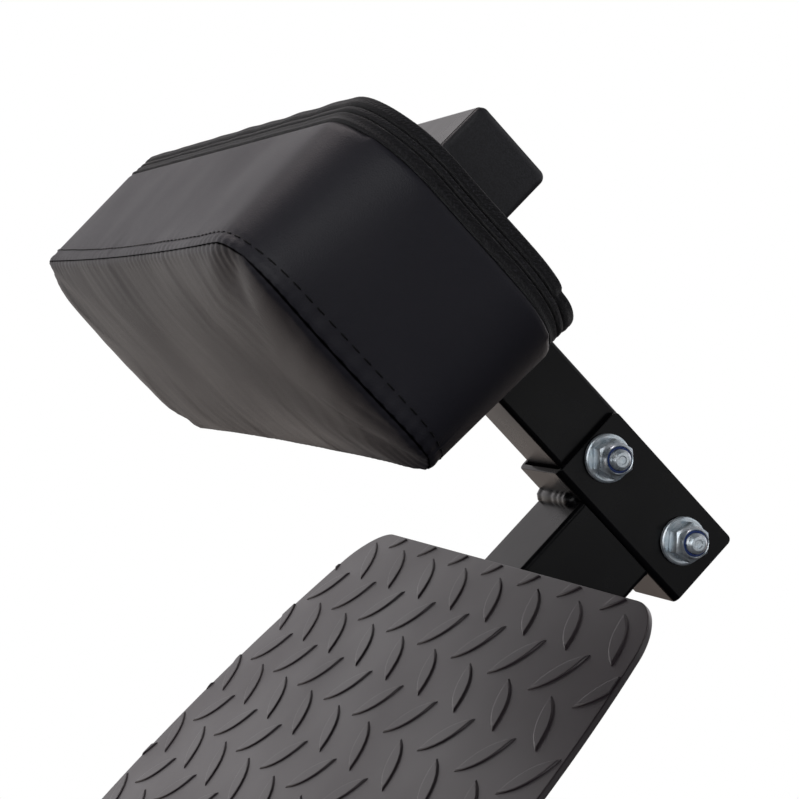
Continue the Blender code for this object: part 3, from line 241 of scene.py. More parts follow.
def loft(name, rings, close="fill", pattern=False):
    """Extrude one closed outline through a list of rings of equally many points.

    close is fill for flat ends, ring where the last ring joins the first, or open.
    """
    bpy.ops.object.select_all(action="DESELECT")
    bpy.ops.mesh.primitive_circle_add(vertices=len(rings[0]), radius=1.0, fill_type="NOTHING")
    piece = bpy.context.object
    piece.name = name
    bpy.ops.object.mode_set(mode="EDIT")
    bpy.ops.mesh.select_mode(type="EDGE")
    bpy.ops.mesh.select_all(action="SELECT")
    mesh = bmesh.from_edit_mesh(piece.data)
    along = mesh.verts.layers.float.new("along")
    across = mesh.verts.layers.float.new("across")
    order = list(mesh.verts)
    places = list(rings) + ([rings[0]] if close == "ring" else [])
    depth = 0.0
    first = None
    for level, ring in enumerate(places):
        if level:
            bpy.ops.mesh.extrude_edges_indiv()
            mesh = bmesh.from_edit_mesh(piece.data)
            along = mesh.verts.layers.float["along"]
            across = mesh.verts.layers.float["across"]
            grown = {}
            for vert in mesh.verts:
                if vert.select:
                    for edge in vert.link_edges:
                        other = edge.other_vert(vert)
                        if not other.select:
                            grown[other] = vert
            order = [grown[vert] for vert in order]
            depth += (Vector(ring[0]) - Vector(places[level - 1][0])).length
        else:
            first = list(order)
        length = 0.0
        for index, (vert, point) in enumerate(zip(order, ring)):
            vert.co = point
            vert[along] = length
            vert[across] = depth
            length += (Vector(point) - Vector(ring[(index + 1) % len(ring)])).length
    if close == "fill":
        for loop in (order, first):
            bpy.ops.mesh.select_all(action="DESELECT")
            mesh = bmesh.from_edit_mesh(piece.data)
            for vert, after in zip(loop, loop[1:] + loop[:1]):
                edge = mesh.edges.get((vert, after))
                if edge:
                    edge.select_set(True)
            bmesh.update_edit_mesh(piece.data)
            bpy.ops.mesh.edge_face_add()
    bpy.ops.mesh.select_all(action="SELECT")
    bpy.ops.mesh.remove_doubles(threshold=0.000002)
    bpy.ops.mesh.normals_make_consistent(inside=False)
    bpy.ops.object.mode_set(mode="OBJECT")
    if not pattern:
        for key in ("along", "across"):
            piece.data.attributes.remove(piece.data.attributes[key])
    return piece


def round_ring(radius, height, steps=48):
    """Points round a circle."""
    turns = (2 * math.pi * step / steps for step in range(steps))
    return [(radius * math.cos(turn), radius * math.sin(turn), height) for turn in turns]


def lathe(name, profile, place, steps=48, close="open"):
    """Turn a profile of (radius, height) points round local Z and put it in place."""
    return settle(loft(name, [round_ring(*point, steps) for point in profile], close), place)


def rounded_outline(half_x, half_y, radius, steps, spacing=None):
    """Points round a rectangle whose corners are arcs, anticlockwise."""
    points = []
    for corner, (sign_x, sign_y) in enumerate(((1, 1), (-1, 1), (-1, -1), (1, -1))):
        for step in range(steps + 1):
            angle = math.radians(90) * (corner + step / steps)
            points.append(Vector((
                sign_x * (half_x - radius) + radius * math.cos(angle),
                sign_y * (half_y - radius) + radius * math.sin(angle),
                0,
            )))
    if spacing is None:
        return points
    even = []
    for point, after in zip(points, points[1:] + points[:1]):
        parts = max(1, round((after - point).length / spacing))
        even += [point.lerp(after, part / parts) for part in range(parts)]
    return even


def outward(outline):
    """The outward direction at each point of an outline."""
    centre = sum(outline, Vector()) / len(outline)
    normals = []
    for before, point, after in zip(outline[-1:] + outline, outline, outline[1:] + outline[:1]):
        step = after - before
        normal = Vector((step.y, -step.x, 0)).normalized()
        normals.append(-normal if normal.dot(point - centre) < 0 else normal)
    return normals


def inset_outline(outline, inset):
    """An outline drawn in by a distance."""
    return [point - normal * inset for point, normal in zip(outline, outward(outline))]


def block(name, size=(1, 1, 1), centre=(0, 0, 0)):
    """A box, which is shaped further."""
    bpy.ops.object.select_all(action="DESELECT")
    bpy.ops.mesh.primitive_cube_add(size=1.0)
    piece = bpy.context.object
    piece.name = name
    piece.scale = size
    piece.location = centre
    bpy.ops.object.transform_apply(location=True, rotation=True, scale=True)
    return piece


def square_tube(name, side, start, end, axis, place):
    """A square tube with rounded corners and an open bore, along a local axis."""
    length = end - start
    piece = block(name, (side, side, length), (0, 0, (start + end) / 2))
    pick(piece, "EDGE", lambda edge: abs(edge.verts[0].co.z - edge.verts[1].co.z) > length / 2)
    bpy.ops.mesh.bevel(offset=TUBE_CORNER, segments=6, affect="EDGES")
    pick(piece, "FACE", lambda face: abs(face.normal.z) > 0.9)
    bpy.ops.mesh.delete(type="ONLY_FACE")
    bpy.ops.object.mode_set(mode="OBJECT")
    apply(piece, "wall", "SOLIDIFY", thickness=TUBE_WALL, offset=-1.0, use_even_offset=True)
    turns = {"X": quarter_turn("Y"), "Y": quarter_turn("X", -1), "Z": Matrix()}
    settle(piece, LEG_LINE @ Matrix.Translation(place) @ turns[axis])
    soften(piece, 0.0004, 50.0)
    return piece


def fine_copy(node):
    """A copy of a frame node with its triangles merged and its edges softened."""
    piece = bpy.data.objects.new(node + "_finished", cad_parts[node].data.copy())
    bpy.context.scene.collection.objects.link(piece)
    piece.data.materials.clear()
    sole(piece)
    bpy.ops.object.mode_set(mode="EDIT")
    bpy.ops.mesh.select_all(action="SELECT")
    bpy.ops.mesh.remove_doubles(threshold=0.00001)
    bpy.ops.mesh.dissolve_limited(angle_limit=math.radians(0.5))
    bpy.ops.mesh.normals_make_consistent(inside=False)
    bpy.ops.object.mode_set(mode="OBJECT")
    soften(piece, 0.0005, 40.0)
    return piece


def hand_over(piece, finish, body, *nodes):
    """Give a piece its finish, the body it rides on, and the nodes that it stands for."""
    piece.data.materials.clear()
    piece.data.materials.append(FINISHES[finish])
    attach(piece, body)
    if nodes:
        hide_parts(*nodes)


def hand_over_copies(body, finish, *nodes):
    """Stand a softened copy in for each frame node whose shape is right."""
    for node in nodes:
        hand_over(fine_copy(node), finish, body, node)


def linear(code):
    """Turn an sRGB hex colour into linear red, green, blue and alpha."""
    values = []
    for start in (0, 2, 4):
        value = int(code[start:start + 2], 16) / 255
        values.append(value / 12.92 if value <= 0.04045 else ((value + 0.055) / 1.055) ** 2.4)
    return (*values, 1.0)


def add_node(tree, kind, inputs=(), **settings):
    """Add a node and set it. Its inputs, in order or by key, are values, sockets or nodes."""
    made = tree.nodes.new("ShaderNode" + kind)
    for key, value in settings.items():
        setattr(made, key, value)
    for key, value in inputs.items() if isinstance(inputs, dict) else enumerate(inputs):
        if isinstance(value, bpy.types.Node):
            value = value.outputs[0]
        if isinstance(value, bpy.types.NodeSocket):
            tree.links.new(value, made.inputs[key])
        else:
            made.inputs[key].default_value = value
    return made


def start_material(name, laid_along=False):
    """A new material without nodes. Returns it, its tree and its pattern's coordinates.

    They are Object coordinates, or those that run along and across a band of cloth.
    """
    material = bpy.data.materials.new(name)
    material.use_nodes = True
    tree = material.node_tree
    tree.nodes.clear()
    if not laid_along:
        return material, tree, add_node(tree, "TexCoord").outputs["Object"]
    ways = (add_node(tree, "Attribute", attribute_name=way) for way in ("along", "across"))
    return material, tree, add_node(tree, "CombineXYZ", [way.outputs["Fac"] for way in ways])


def end_material(material, inputs, kind="BsdfPrincipled"):
    """Add a material's shader and output, and return the material."""
    add_node(material.node_tree, "OutputMaterial", [add_node(material.node_tree, kind, inputs)])
    return material


def mottled_finish(name, dark, light, clouds, relief=None, contrast=None, grain=None, **values):
    """A finish whose colour follows one noise, and whose relief follows another.

    clouds is (scale, detail) and relief is (scale, detail, strength, depth). contrast is the
    range of the clouds that the two colours span. A pair of roughnesses spans 0.3 to 0.7 of it.
    grain holds the settings of a Mapping node that turns and stretches both.
    """
    material, tree, place = start_material(name)
    if grain:
        place = add_node(tree, "Mapping", {"Vector": place, **grain})
    inputs = {key.replace("_", " "): value for key, value in values.items()}
    scale, detail = clouds
    shade = add_node(tree, "TexNoise", {"Vector": place, "Scale": scale, "Detail": detail})
    if isinstance(inputs["Roughness"], tuple):
        inputs["Roughness"] = add_node(tree, "MapRange", (shade, 0.3, 0.7, *inputs["Roughness"]))
    if contrast:
        shade = add_node(tree, "MapRange", (shade, *contrast, 0, 1))
    colour = add_node(tree, "Mix", {0: shade, 6: dark, 7: light}, data_type="RGBA")
    inputs["Base Color"] = colour.outputs[2]
    if relief:
        scale, detail, strength, depth = relief
        bumps = add_node(tree, "TexNoise", {"Vector": place, "Scale": scale, "Detail": detail})
        inputs["Normal"] = add_node(
            tree, "Bump", {"Strength": strength, "Distance": depth, "Height": bumps}
        )
    return end_material(material, inputs)


def black_vinyl(dark, light):
    """PVC leather cloth: embossed with a fine pebble grain, soft sheen, and painted shade along its
    seams.
    """
    material, tree, place = start_material("black_pvc_leathercloth")
    # The embossed grain has cells of about 1.1 mm, drawn a little coarser than on the real cloth.
    cells = add_node(
        tree, "TexVoronoi", {"Vector": place, "Scale": 900.0, "Randomness": 1.0},
        feature="DISTANCE_TO_EDGE",
    )
    grain = add_node(tree, "TexNoise", {"Vector": place, "Scale": 420.0, "Detail": 3.0})
    cloudy = add_node(tree, "TexNoise", {"Vector": place, "Scale": 12.0, "Detail": 2.0})
    pebbles = add_node(tree, "MapRange", (cells.outputs["Distance"], 0, 0.3, 0, 1))
    height = add_node(tree, "Math", (pebbles, grain), operation="ADD")
    bump = add_node(tree, "Bump", {"Strength": 0.22, "Distance": 0.0002, "Height": height})
    seam = add_node(tree, "Attribute", attribute_name="from_seam").outputs["Fac"]
    near_seam = add_node(tree, "Math", [seam], operation="ABSOLUTE")
    # The seam gets a painted shade line about 0.8 mm wide, wider where the gathers open it: near black,
    # and without reflection.
    pulled = add_node(tree, "Attribute", attribute_name="pulled").outputs["Fac"]
    closed = add_node(tree, "MapRange", (pulled, -1.0, 1.0, 0.6, 1.5))
    near_seam = add_node(tree, "Math", (near_seam, closed), operation="MULTIPLY")
    line = add_node(tree, "MapRange", (near_seam, 0.0003, 0.0009, 1.0, 0.0))
    cloth = add_node(tree, "Mix", {0: cloudy, 6: dark, 7: light}, data_type="RGBA").outputs[2]
    # Painted shade: near black mixed into the colour along the seam line.
    sewn = add_node(tree, "Mix", {0: line, 6: cloth, 7: linear("030303")}, data_type="RGBA")
    return end_material(material, {
        "Base Color": sewn.outputs[2],
        "Roughness": add_node(tree, "MapRange", (cloudy, 0.3, 0.7, 0.44, 0.54)),
        "IOR": 1.33,
        # Painted shade: the seam line reflects no light.
        "Specular IOR Level": add_node(tree, "MapRange", (line, 0.0, 1.0, 0.5, 0.0)),
        "Normal": bump,
    })


def woven_tape(name, dark, light, lift=1.0, laid_along=True):
    """Woven polyester tape: a tight twill of matt threads, with lighter fibre ends on it."""
    material, tree, place = start_material(name, laid_along)
    turned = add_node(tree, "Mapping", {"Vector": place, "Rotation": (0, 0, math.radians(50))})
    # Twill ribs are about 1.1 mm apart: a wave of scale 285 repeats every 1.1 mm.
    ribs = add_node(
        tree, "TexWave",
        {"Vector": turned, "Scale": 285.0, "Distortion": 5.0, "Detail": 3.0, "Detail Scale": 2.0},
    ).outputs["Fac"]
    fuzz = add_node(tree, "TexNoise", {"Vector": place, "Scale": 1300.0, "Detail": 2.0})
    mottled = add_node(tree, "TexNoise", {"Vector": place, "Scale": 600.0, "Detail": 2.0})
    height = add_node(tree, "Math", (ribs, fuzz), operation="ADD")
    bump = add_node(tree, "Bump", {"Strength": 0.6, "Distance": 0.0002, "Height": height})
    tone = add_node(tree, "MapRange", (fuzz, 0.5, 0.72, 0.4, 1.2))
    # Painted shade and highlight: the colour darkens in the grooves between the twill ribs and lightens
    # on their tops; the fuzz and the mottling are the fibres' own tone.
    for share in (mottled, add_node(tree, "MapRange", (ribs, 0, 1, 0.6, 1.1))):
        tone = add_node(tree, "Math", (tone, share), operation="MULTIPLY")
    light = (*(lift * value for value in light[:3]), 1)
    share = add_node(tree, "MapRange", (tone, 0.1, 0.8, 0.0, 1.0))
    colour = add_node(tree, "Mix", {0: share, 6: dark, 7: light}, data_type="RGBA")
    return end_material(material, {
        "Base Color": colour.outputs[2],
        "Roughness": 0.85,
        "Specular IOR Level": 0.3,
        "Sheen Weight": 0.15,
        "Sheen Roughness": 0.5,
        "Normal": bump,
    })


def make_finishes(settings):
    """Make every finish, each from what the real material is and how its surface was made."""
    coat, tread, vinyl, tape, zinc = (
        [(*getattr(settings, finish + "_" + tone), 1) for tone in ("dark", "light")]
        for finish in ("coat", "tread", "vinyl", "tape", "zinc")
    )
    FINISHES.update(
        # Sprayed and baked, it has an orange peel of about 2 mm, and its gloss drifts over 40 mm.
        coat=mottled_finish(
            "black_powder_coated_steel", *coat, (25.0, 3.0), (450.0, 2.0, 0.08, 0.0002),
            Roughness=(0.26, 0.32), IOR=1.28,
        ),
        # Rolled plate has a fine tooth of about 1 mm, and feet rub it brown in patches of 60 mm.
        tread=mottled_finish(
            "black_painted_tread_plate", *tread, (16.0, 4.0), (900.0, 2.0, 0.12, 0.0002),
            Roughness=(0.31, 0.39), IOR=1.48,
        ),
        vinyl=black_vinyl(*vinyl),
        tape=woven_tape("black_woven_polyester_tape", *tape),
        tape_light=woven_tape("black_zip_edge_tape", *tape, 1.3),
        backing=woven_tape("black_backing_cloth", *tape, 1.0, False),
        # Bonded nylon is slightly shiny, and its plies are about 0.5 mm long.
        thread=mottled_finish(
            "black_sewing_thread", linear("040405"), linear("0e0e11"), (1900.0, 2.0),
            Roughness=0.6, Specular_IOR_Level=0.2,
        ),
        # Injection moulding copies the mould's spark-eroded grain of about 0.7 mm, which is dull.
        plastic=mottled_finish(
            "black_moulded_polyethylene", linear("17171b"), linear("242429"), (1400.0, 3.0),
            (1400.0, 3.0, 0.5, 0.0002), (0.35, 0.65), Roughness=0.5, IOR=1.5,
        ),
        # Rubber is matt, with a faint bloom in patches of about 10 mm.
        rubber=mottled_finish(
            "black_moulded_rubber", linear("121213"), linear("222224"), (100.0, 5.0),
            (100.0, 5.0, 0.3, 0.0003), Roughness=0.75, IOR=1.52,
        ),
        # A bright bluish metal under a thin milky film, with clouds of tarnish of about 4 mm and
        # turning marks about 0.5 mm apart.
        zinc=mottled_finish(
            "blue_passivated_zinc_plate", *zinc, (260.0, 4.0), (2000.0, 1.0, 0.15, 0.0001),
            (0.35, 0.65), Metallic=0.65, Roughness=(0.25, 0.36),
        ),
        # The locking insert is dyed deep blue and waxy, with fine tool marks.
        nylon=mottled_finish(
            "blue_nylon_insert", linear("10245a"), linear("2a4c96"), (900.0, 2.0),
            Roughness=0.4, IOR=1.53,
        ),
        # Birch veneer is pale, with long grain of about 3 mm across the board.
        plywood=mottled_finish(
            "birch_plywood", linear("a88457"), linear("d0b081"), (320.0, 5.0),
            (320.0, 5.0, 0.3, 0.0002), (0.3, 0.7),
            {"Rotation": (0, LEG_ANGLE, 0), "Scale": (1.0, 0.08, 1.0)}, Roughness=0.62,
        ),
        # Drawn wire is grey, with die lines of about 0.3 mm.
        spring=mottled_finish(
            "drawn_spring_steel", linear("6e6e70"), linear("a5a5a8"), (1500.0, 2.0),
            Metallic=1.0, Roughness=(0.3, 0.45),
        ),
    )


def studio_floor():
    """Matt studio paper: pale under the bench, where the shadow lies, and white further out."""
    material, tree, place = start_material("matt_studio_paper")
    distance = add_node(tree, "VectorMath", [place], operation="LENGTH").outputs["Value"]
    fibre = add_node(tree, "TexNoise", {"Vector": place, "Scale": 90.0, "Detail": 3.0})
    rays = add_node(tree, "LightPath").outputs
    # In front of the bench the studio is dark, so only the paper behind it shines in its faces.
    depth = add_node(tree, "SeparateXYZ", [place]).outputs["Y"]
    colours = (
        (add_node(tree, "MapRange", (depth, -0.1, -0.6, 0.0, 1.0)), linear("3a3a40"), linear("fbeee2")),
        (fibre, linear("e4e4e4"), linear("e9e9e9")),
        (rays["Is Glossy Ray"], (1, 1, 1, 1), (1, 0.94, 0.9, 1)),
    )
    mirrored, shown, glow = (
        add_node(tree, "Mix", {0: share, 6: low, 7: high}, data_type="RGBA").outputs[2]
        for share, low, high in colours
    )
    colour = add_node(
        tree, "Mix", {0: rays["Is Camera Ray"], 6: mirrored, 7: shown}, data_type="RGBA"
    ).outputs[2]
    paper = add_node(tree, "BsdfDiffuse", {"Color": colour, "Roughness": 0.5})
    white = add_node(tree, "Emission", {"Color": glow, "Strength": 1.0})
    seen = add_node(
        tree, "Math", (rays["Is Camera Ray"], rays["Is Transmission Ray"]), operation="MAXIMUM"
    )
    far = add_node(tree, "MapRange", (distance, 0.6, 1.2, 0.6, 1.0))
    behind = add_node(tree, "MapRange", (depth, -0.8, -1.8, 0.0, 1.0))
    shown = add_node(tree, "Math", (seen, far), operation="MULTIPLY")
    shine = add_node(tree, "Math", (rays["Is Glossy Ray"], behind), operation="MULTIPLY")
    share = add_node(tree, "Math", (shown, shine), operation="MAXIMUM")
    return end_material(material, (share, paper, white), "MixShader")


def length_setting(name, description, default, least=0.001):
    """A length that a user would change."""
    return bpy.props.FloatProperty(
        name=name, description=description, default=default, min=least, unit="LENGTH"
    )


def colour_setting(name, description, code):
    """A colour that a user would change."""
    return bpy.props.FloatVectorProperty(
        name=name, description=description, default=linear(code)[:3], subtype="COLOR"
    )


class BenchSizes(bpy.types.PropertyGroup):
    """Sizes that a user would change."""

    swell: length_setting(
        "Cushion swell", "The most that the air pressure can push a cover", 0.009, 0.0001
    )
    cell: length_setting(
        "Cushion cell", "Size of a cushion's faces before it is subdivided", 0.0036
    )
    pucker: length_setting(
        "Pucker", "Depth of the gathers that the seam pulls into the cover", 0.00024, 0.0
    )
    stitch: length_setting("Stitch pitch", "Distance from one stitch to the next", 0.0066)
    stitch_row: length_setting("Stitch row", "Distance of the stitch row from the seam", 0.0055)
    bead: length_setting("Weld bead", "Radius of the weld beads", 0.0026, 0.0005)


class BenchFinishes(bpy.types.PropertyGroup):
    """Colours that a user would change."""

    coat_dark: colour_setting("Coat, dark", "Powder coat where it is darkest", "08080a")
    coat_light: colour_setting("Coat, light", "Powder coat where it is lightest", "0e0e10")
    tread_dark: colour_setting("Tread, dark", "Tread paint where it is darkest", "1b171a")
    tread_light: colour_setting("Tread, light", "Tread paint where feet rub it", "2d2529")
    vinyl_dark: colour_setting("Vinyl, dark", "Vinyl where it is darkest", "202027")
    vinyl_light: colour_setting("Vinyl, light", "Vinyl where it is lightest", "2a292f")
    # The tape's darkest tone lies partly in the painted shade between its ribs.
    tape_dark: colour_setting("Tape, dark", "Zip tape between its threads", "09090b")
    tape_light: colour_setting("Tape, light", "Zip tape on its threads", "36353b")
    zinc_dark: colour_setting("Zinc, dark", "Zinc plate where it is tarnished", "c2d0d9")
    zinc_light: colour_setting("Zinc, light", "Zinc plate where it is bright", "eaf1f6")


def cushion_place(base, face, seam, dome, rise, a, b, c):
    """Where a point of a unit block lands on the cushion. a and b run -1 to 1, c runs 0 to 1."""
    lift = (rise[0] + rise[1] * b) * (1 - a) / 2 + rise[2] * (1 - a * a) * b**4
    half_x, half_y, radius = ((1 - c) * low + c * high for low, high in zip(base, face))
    inside = max(abs(a), abs(b))
    if inside < 1e-6:
        return Vector((0, 0, (seam + dome) * c + lift * c * c))
    x, y = abs(a) / inside * half_x, abs(b) / inside * half_y
    past_x, past_y = x - (half_x - radius), y - (half_y - radius)
    if past_x > 0 and past_y > 0:
        share = past_y / (2 * radius) if past_x > past_y else 1 - past_x / (2 * radius)
        angle = math.radians(90) * share
        x = half_x - radius + radius * math.cos(angle)
        y = half_y - radius + radius * math.sin(angle)
    x = math.copysign(x * inside, a)
    y = math.copysign(y * inside, b)
    # The cover is drawn in between its corners, most along its long seams.
    x *= 1 - 0.0024 / half_x * max(0.0, 1 - (y / (0.9 * face[1])) ** 2) * c * c
    y *= 1 - 0.0010 / half_y * max(0.0, 1 - (x / (0.8 * face[0])) ** 2) * c * c
    height = seam * c + lift * c * c
    if c > 0.999:
        for left in ((1 - abs(a)) * face[0], (1 - abs(b)) * face[1]):
            dome *= math.sqrt(1 - (1 - min(left / 0.024, 1.0)) ** 2)
        height += dome
    return Vector((x, y, height))


def measures(piece, *names):
    """Numbers that a piece carries at its points. The ones that it doesn't have yet are added."""
    attributes = piece.data.attributes
    for name in names:
        if name not in attributes:
            attributes.new(name, "FLOAT", "POINT")
    return [attributes[name].data for name in names]


def make_cover(name, base, face, seam, dome, rise):
    """A cushion cover as a grid of faces, finer towards its seam, standing on local Z = 0."""
    sizes = bpy.context.scene.bench_sizes
    piece = block(name)
    for axis, length in enumerate((2 * base[0], 2 * base[1], seam)):
        def runs_along(edge, axis=axis):
            step = edge.verts[0].co - edge.verts[1].co
            return abs(step[axis]) > 0.5 * step.length
        pick(piece, "EDGE", runs_along)
        bpy.ops.mesh.subdivide(number_cuts=round(length / sizes.cell) - 1)
        bpy.ops.object.mode_set(mode="OBJECT")
    from_seam, along_seam = measures(piece, "from_seam", "along_seam")
    for vert in piece.data.vertices:
        a, b, c = 2 * vert.co.x, 2 * vert.co.y, 1 - (0.5 - vert.co.z) ** 1.45
        a, b = (math.copysign(1 - (1 - abs(value)) ** 1.25, value) for value in (a, b))
        to_long = (1 - abs(a)) * face[0]
        to_short = (1 - abs(b)) * face[1]
        away = min(to_long, to_short) if c > 0.999 else -(1 - c) * seam
        from_seam[vert.index].value = away
        along_seam[vert.index].value = b * face[1] if to_long < to_short else 2 + a * face[0]
        vert.co = cushion_place(base, face, seam, dome, rise, a, b, c)
    sewn = {index for index, item in enumerate(from_seam) if abs(item.value) < 1e-6}
    pick(piece, "EDGE", lambda edge: all(vert.index in sewn for vert in edge.verts))
    bpy.ops.transform.edge_crease(value=0.85)
    bpy.ops.object.mode_set(mode="OBJECT")
    return piece, sewn


def puff_up(piece, sewn):
    """Swell a cover with air by cloth simulation. Sewn points stay, others move a capped way."""
    reach = bpy.context.scene.bench_sizes.swell
    start = [vert.co.copy() for vert in piece.data.vertices]
    group = piece.vertex_groups.new(name="sewn")
    group.add(sewn, 1.0, "REPLACE")
    sole(piece)
    cloth = piece.modifiers.new("air", "CLOTH")
    cloth.settings.effector_weights.gravity = 0.0
    for key, value in {
        "use_pressure": True, "uniform_pressure_force": AIR_PRESSURE, "vertex_group_mass": "sewn",
        "mass": 0.15, "tension_stiffness": 15.0, "compression_stiffness": 15.0,
        "bending_stiffness": 1.0,
    }.items():
        setattr(cloth.settings, key, value)
    cloth.collision_settings.use_collision = False
    cloth.point_cache.frame_start = 1
    cloth.point_cache.frame_end = AIR_FRAMES
    for number in range(1, AIR_FRAMES + 1):
        bpy.context.scene.frame_set(number)
    bpy.ops.object.modifier_apply(modifier="air")
    for vert, place in zip(piece.data.vertices, start):
        moved = vert.co - place
        vert.co = place + moved * (reach / (reach + moved.length))
    piece.vertex_groups.clear()
    bpy.context.scene.frame_set(1)


def gather_seam(piece, seed):
    """Pull puckers and long soft wrinkles into the finished cover, and sink its seam."""
    sizes = bpy.context.scene.bench_sizes
    depth = sizes.pucker
    from_seam, along_seam, pulled = measures(piece, "from_seam", "along_seam", "pulled")
    moves = []
    for vert in piece.data.vertices:
        away = from_seam[vert.index].value
        along = along_seam[vert.index].value
        near = math.exp(-(abs(away) / 0.0055) ** 2)
        wide = math.exp(-(away / 0.05) ** 2) if away > 0 else math.exp(-(away / 0.012) ** 2)
        drift = noise.noise(Vector((along * 22, seed, 0))) * 2.0
        patch = noise.noise(Vector((along * 11, seed + 7, 0)))
        strength = max(0.0, min(1.0, 0.65 + 1.5 * patch))
        gather = math.sin(2 * math.pi * along / 0.0072 + 3 * drift) * strength
        pulled[vert.index].value = gather
        slant = along + 0.35 * max(away, 0.0)
        wrinkle = noise.noise(Vector((slant * 36, away * 11, seed + 3)))
        wrinkle += 0.45 * noise.noise(Vector((slant * 120, away * 20, seed + 5)))
        move = depth * gather * near + 2.0 * depth * wrinkle * wide * min(1.0, abs(away) / 0.004)
        move -= 0.0007 * math.exp(-(away / 0.0014) ** 2)
        # The stitch row presses a shallow groove into the cloth.
        move -= 0.0003 * math.exp(-((away + sizes.stitch_row) / 0.0012) ** 2)
        moves.append(vert.normal * move)
    for vert, move in zip(piece.data.vertices, moves):
        vert.co += move


def stitch_row(name, cover, places, length=0.0044, radius=0.00036):
    """Stitches laid on a cover at each (place, direction), each a short rounded thread."""
    profile = ((0.0, -0.5), (0.75, -0.44), (1.0, -0.25), (1.0, 0.25), (0.75, 0.44), (0.0, 0.5))
    one = lathe(name, [(size * radius, end * length) for size, end in profile], Matrix(), 6)
    smooth(one, 80.0)
    copies = []
    for place, along in places:
        found, spot, normal, _ = cover.closest_point_on_mesh(place)
        if not found:
            raise RuntimeError("no surface under a stitch of " + name)
        along = (along - normal * along.dot(normal)).normalized()
        turn = Matrix((normal.cross(along), normal, along)).transposed().to_4x4()
        copies.append(copied(one, Matrix.Translation(spot + normal * radius * 0.3) @ turn))
    bpy.data.objects.remove(one)
    return joined(copies, name)


def seam_places(base, face, seam, rise, pitch, drop):
    """Stitch places round a cushion, a drop below its seam and lower at the far upper corner."""
    share = 1 - drop / seam
    sizes = [(1 - share) * low + share * high for low, high in zip(base, face)]
    outline = rounded_outline(*sizes, 12)
    total = sum((after - point).length for point, after in zip(outline, outline[1:] + outline[:1]))
    count = round(total / pitch)
    places = []
    walked, wanted = 0.0, 0.0
    for point, after in zip(outline, outline[1:] + outline[:1]):
        step = after - point
        while step.length > 0 and wanted <= walked + step.length and len(places) < count:
            spot = point + step * ((wanted - walked) / step.length)
            wander = 1.4 * rise[0] * max(0.0, spot.x / sizes[0]) * max(0.0, spot.y / sizes[1]) ** 2
            places.append((Vector((spot.x, spot.y, seam * share - wander)), step.normalized()))
            wanted += total / count
        walked += step.length
    return places


def make_cushion(name, base, face, seam, dome, place, seed, rise=(0.0, 0.0, 0.0)):
    """A sewn and stuffed cushion with its stitch row, in place. Returns both pieces."""
    sizes = bpy.context.scene.bench_sizes
    cover, sewn = make_cover(name, base, face, seam, dome, rise)
    bottom = [vert.index for vert in cover.data.vertices if vert.co.z < 1e-6]
    puff_up(cover, sorted(sewn | set(bottom)))
    apply(cover, "finer", "SUBSURF", levels=1, render_levels=1)
    gather_seam(cover, seed)
    smooth(cover, 180.0)
    places = seam_places(base, face, seam, rise, sizes.stitch, sizes.stitch_row)
    row = stitch_row(name + "_stitches", cover, places)
    settle(cover, place)
    settle(row, place)
    return cover, row


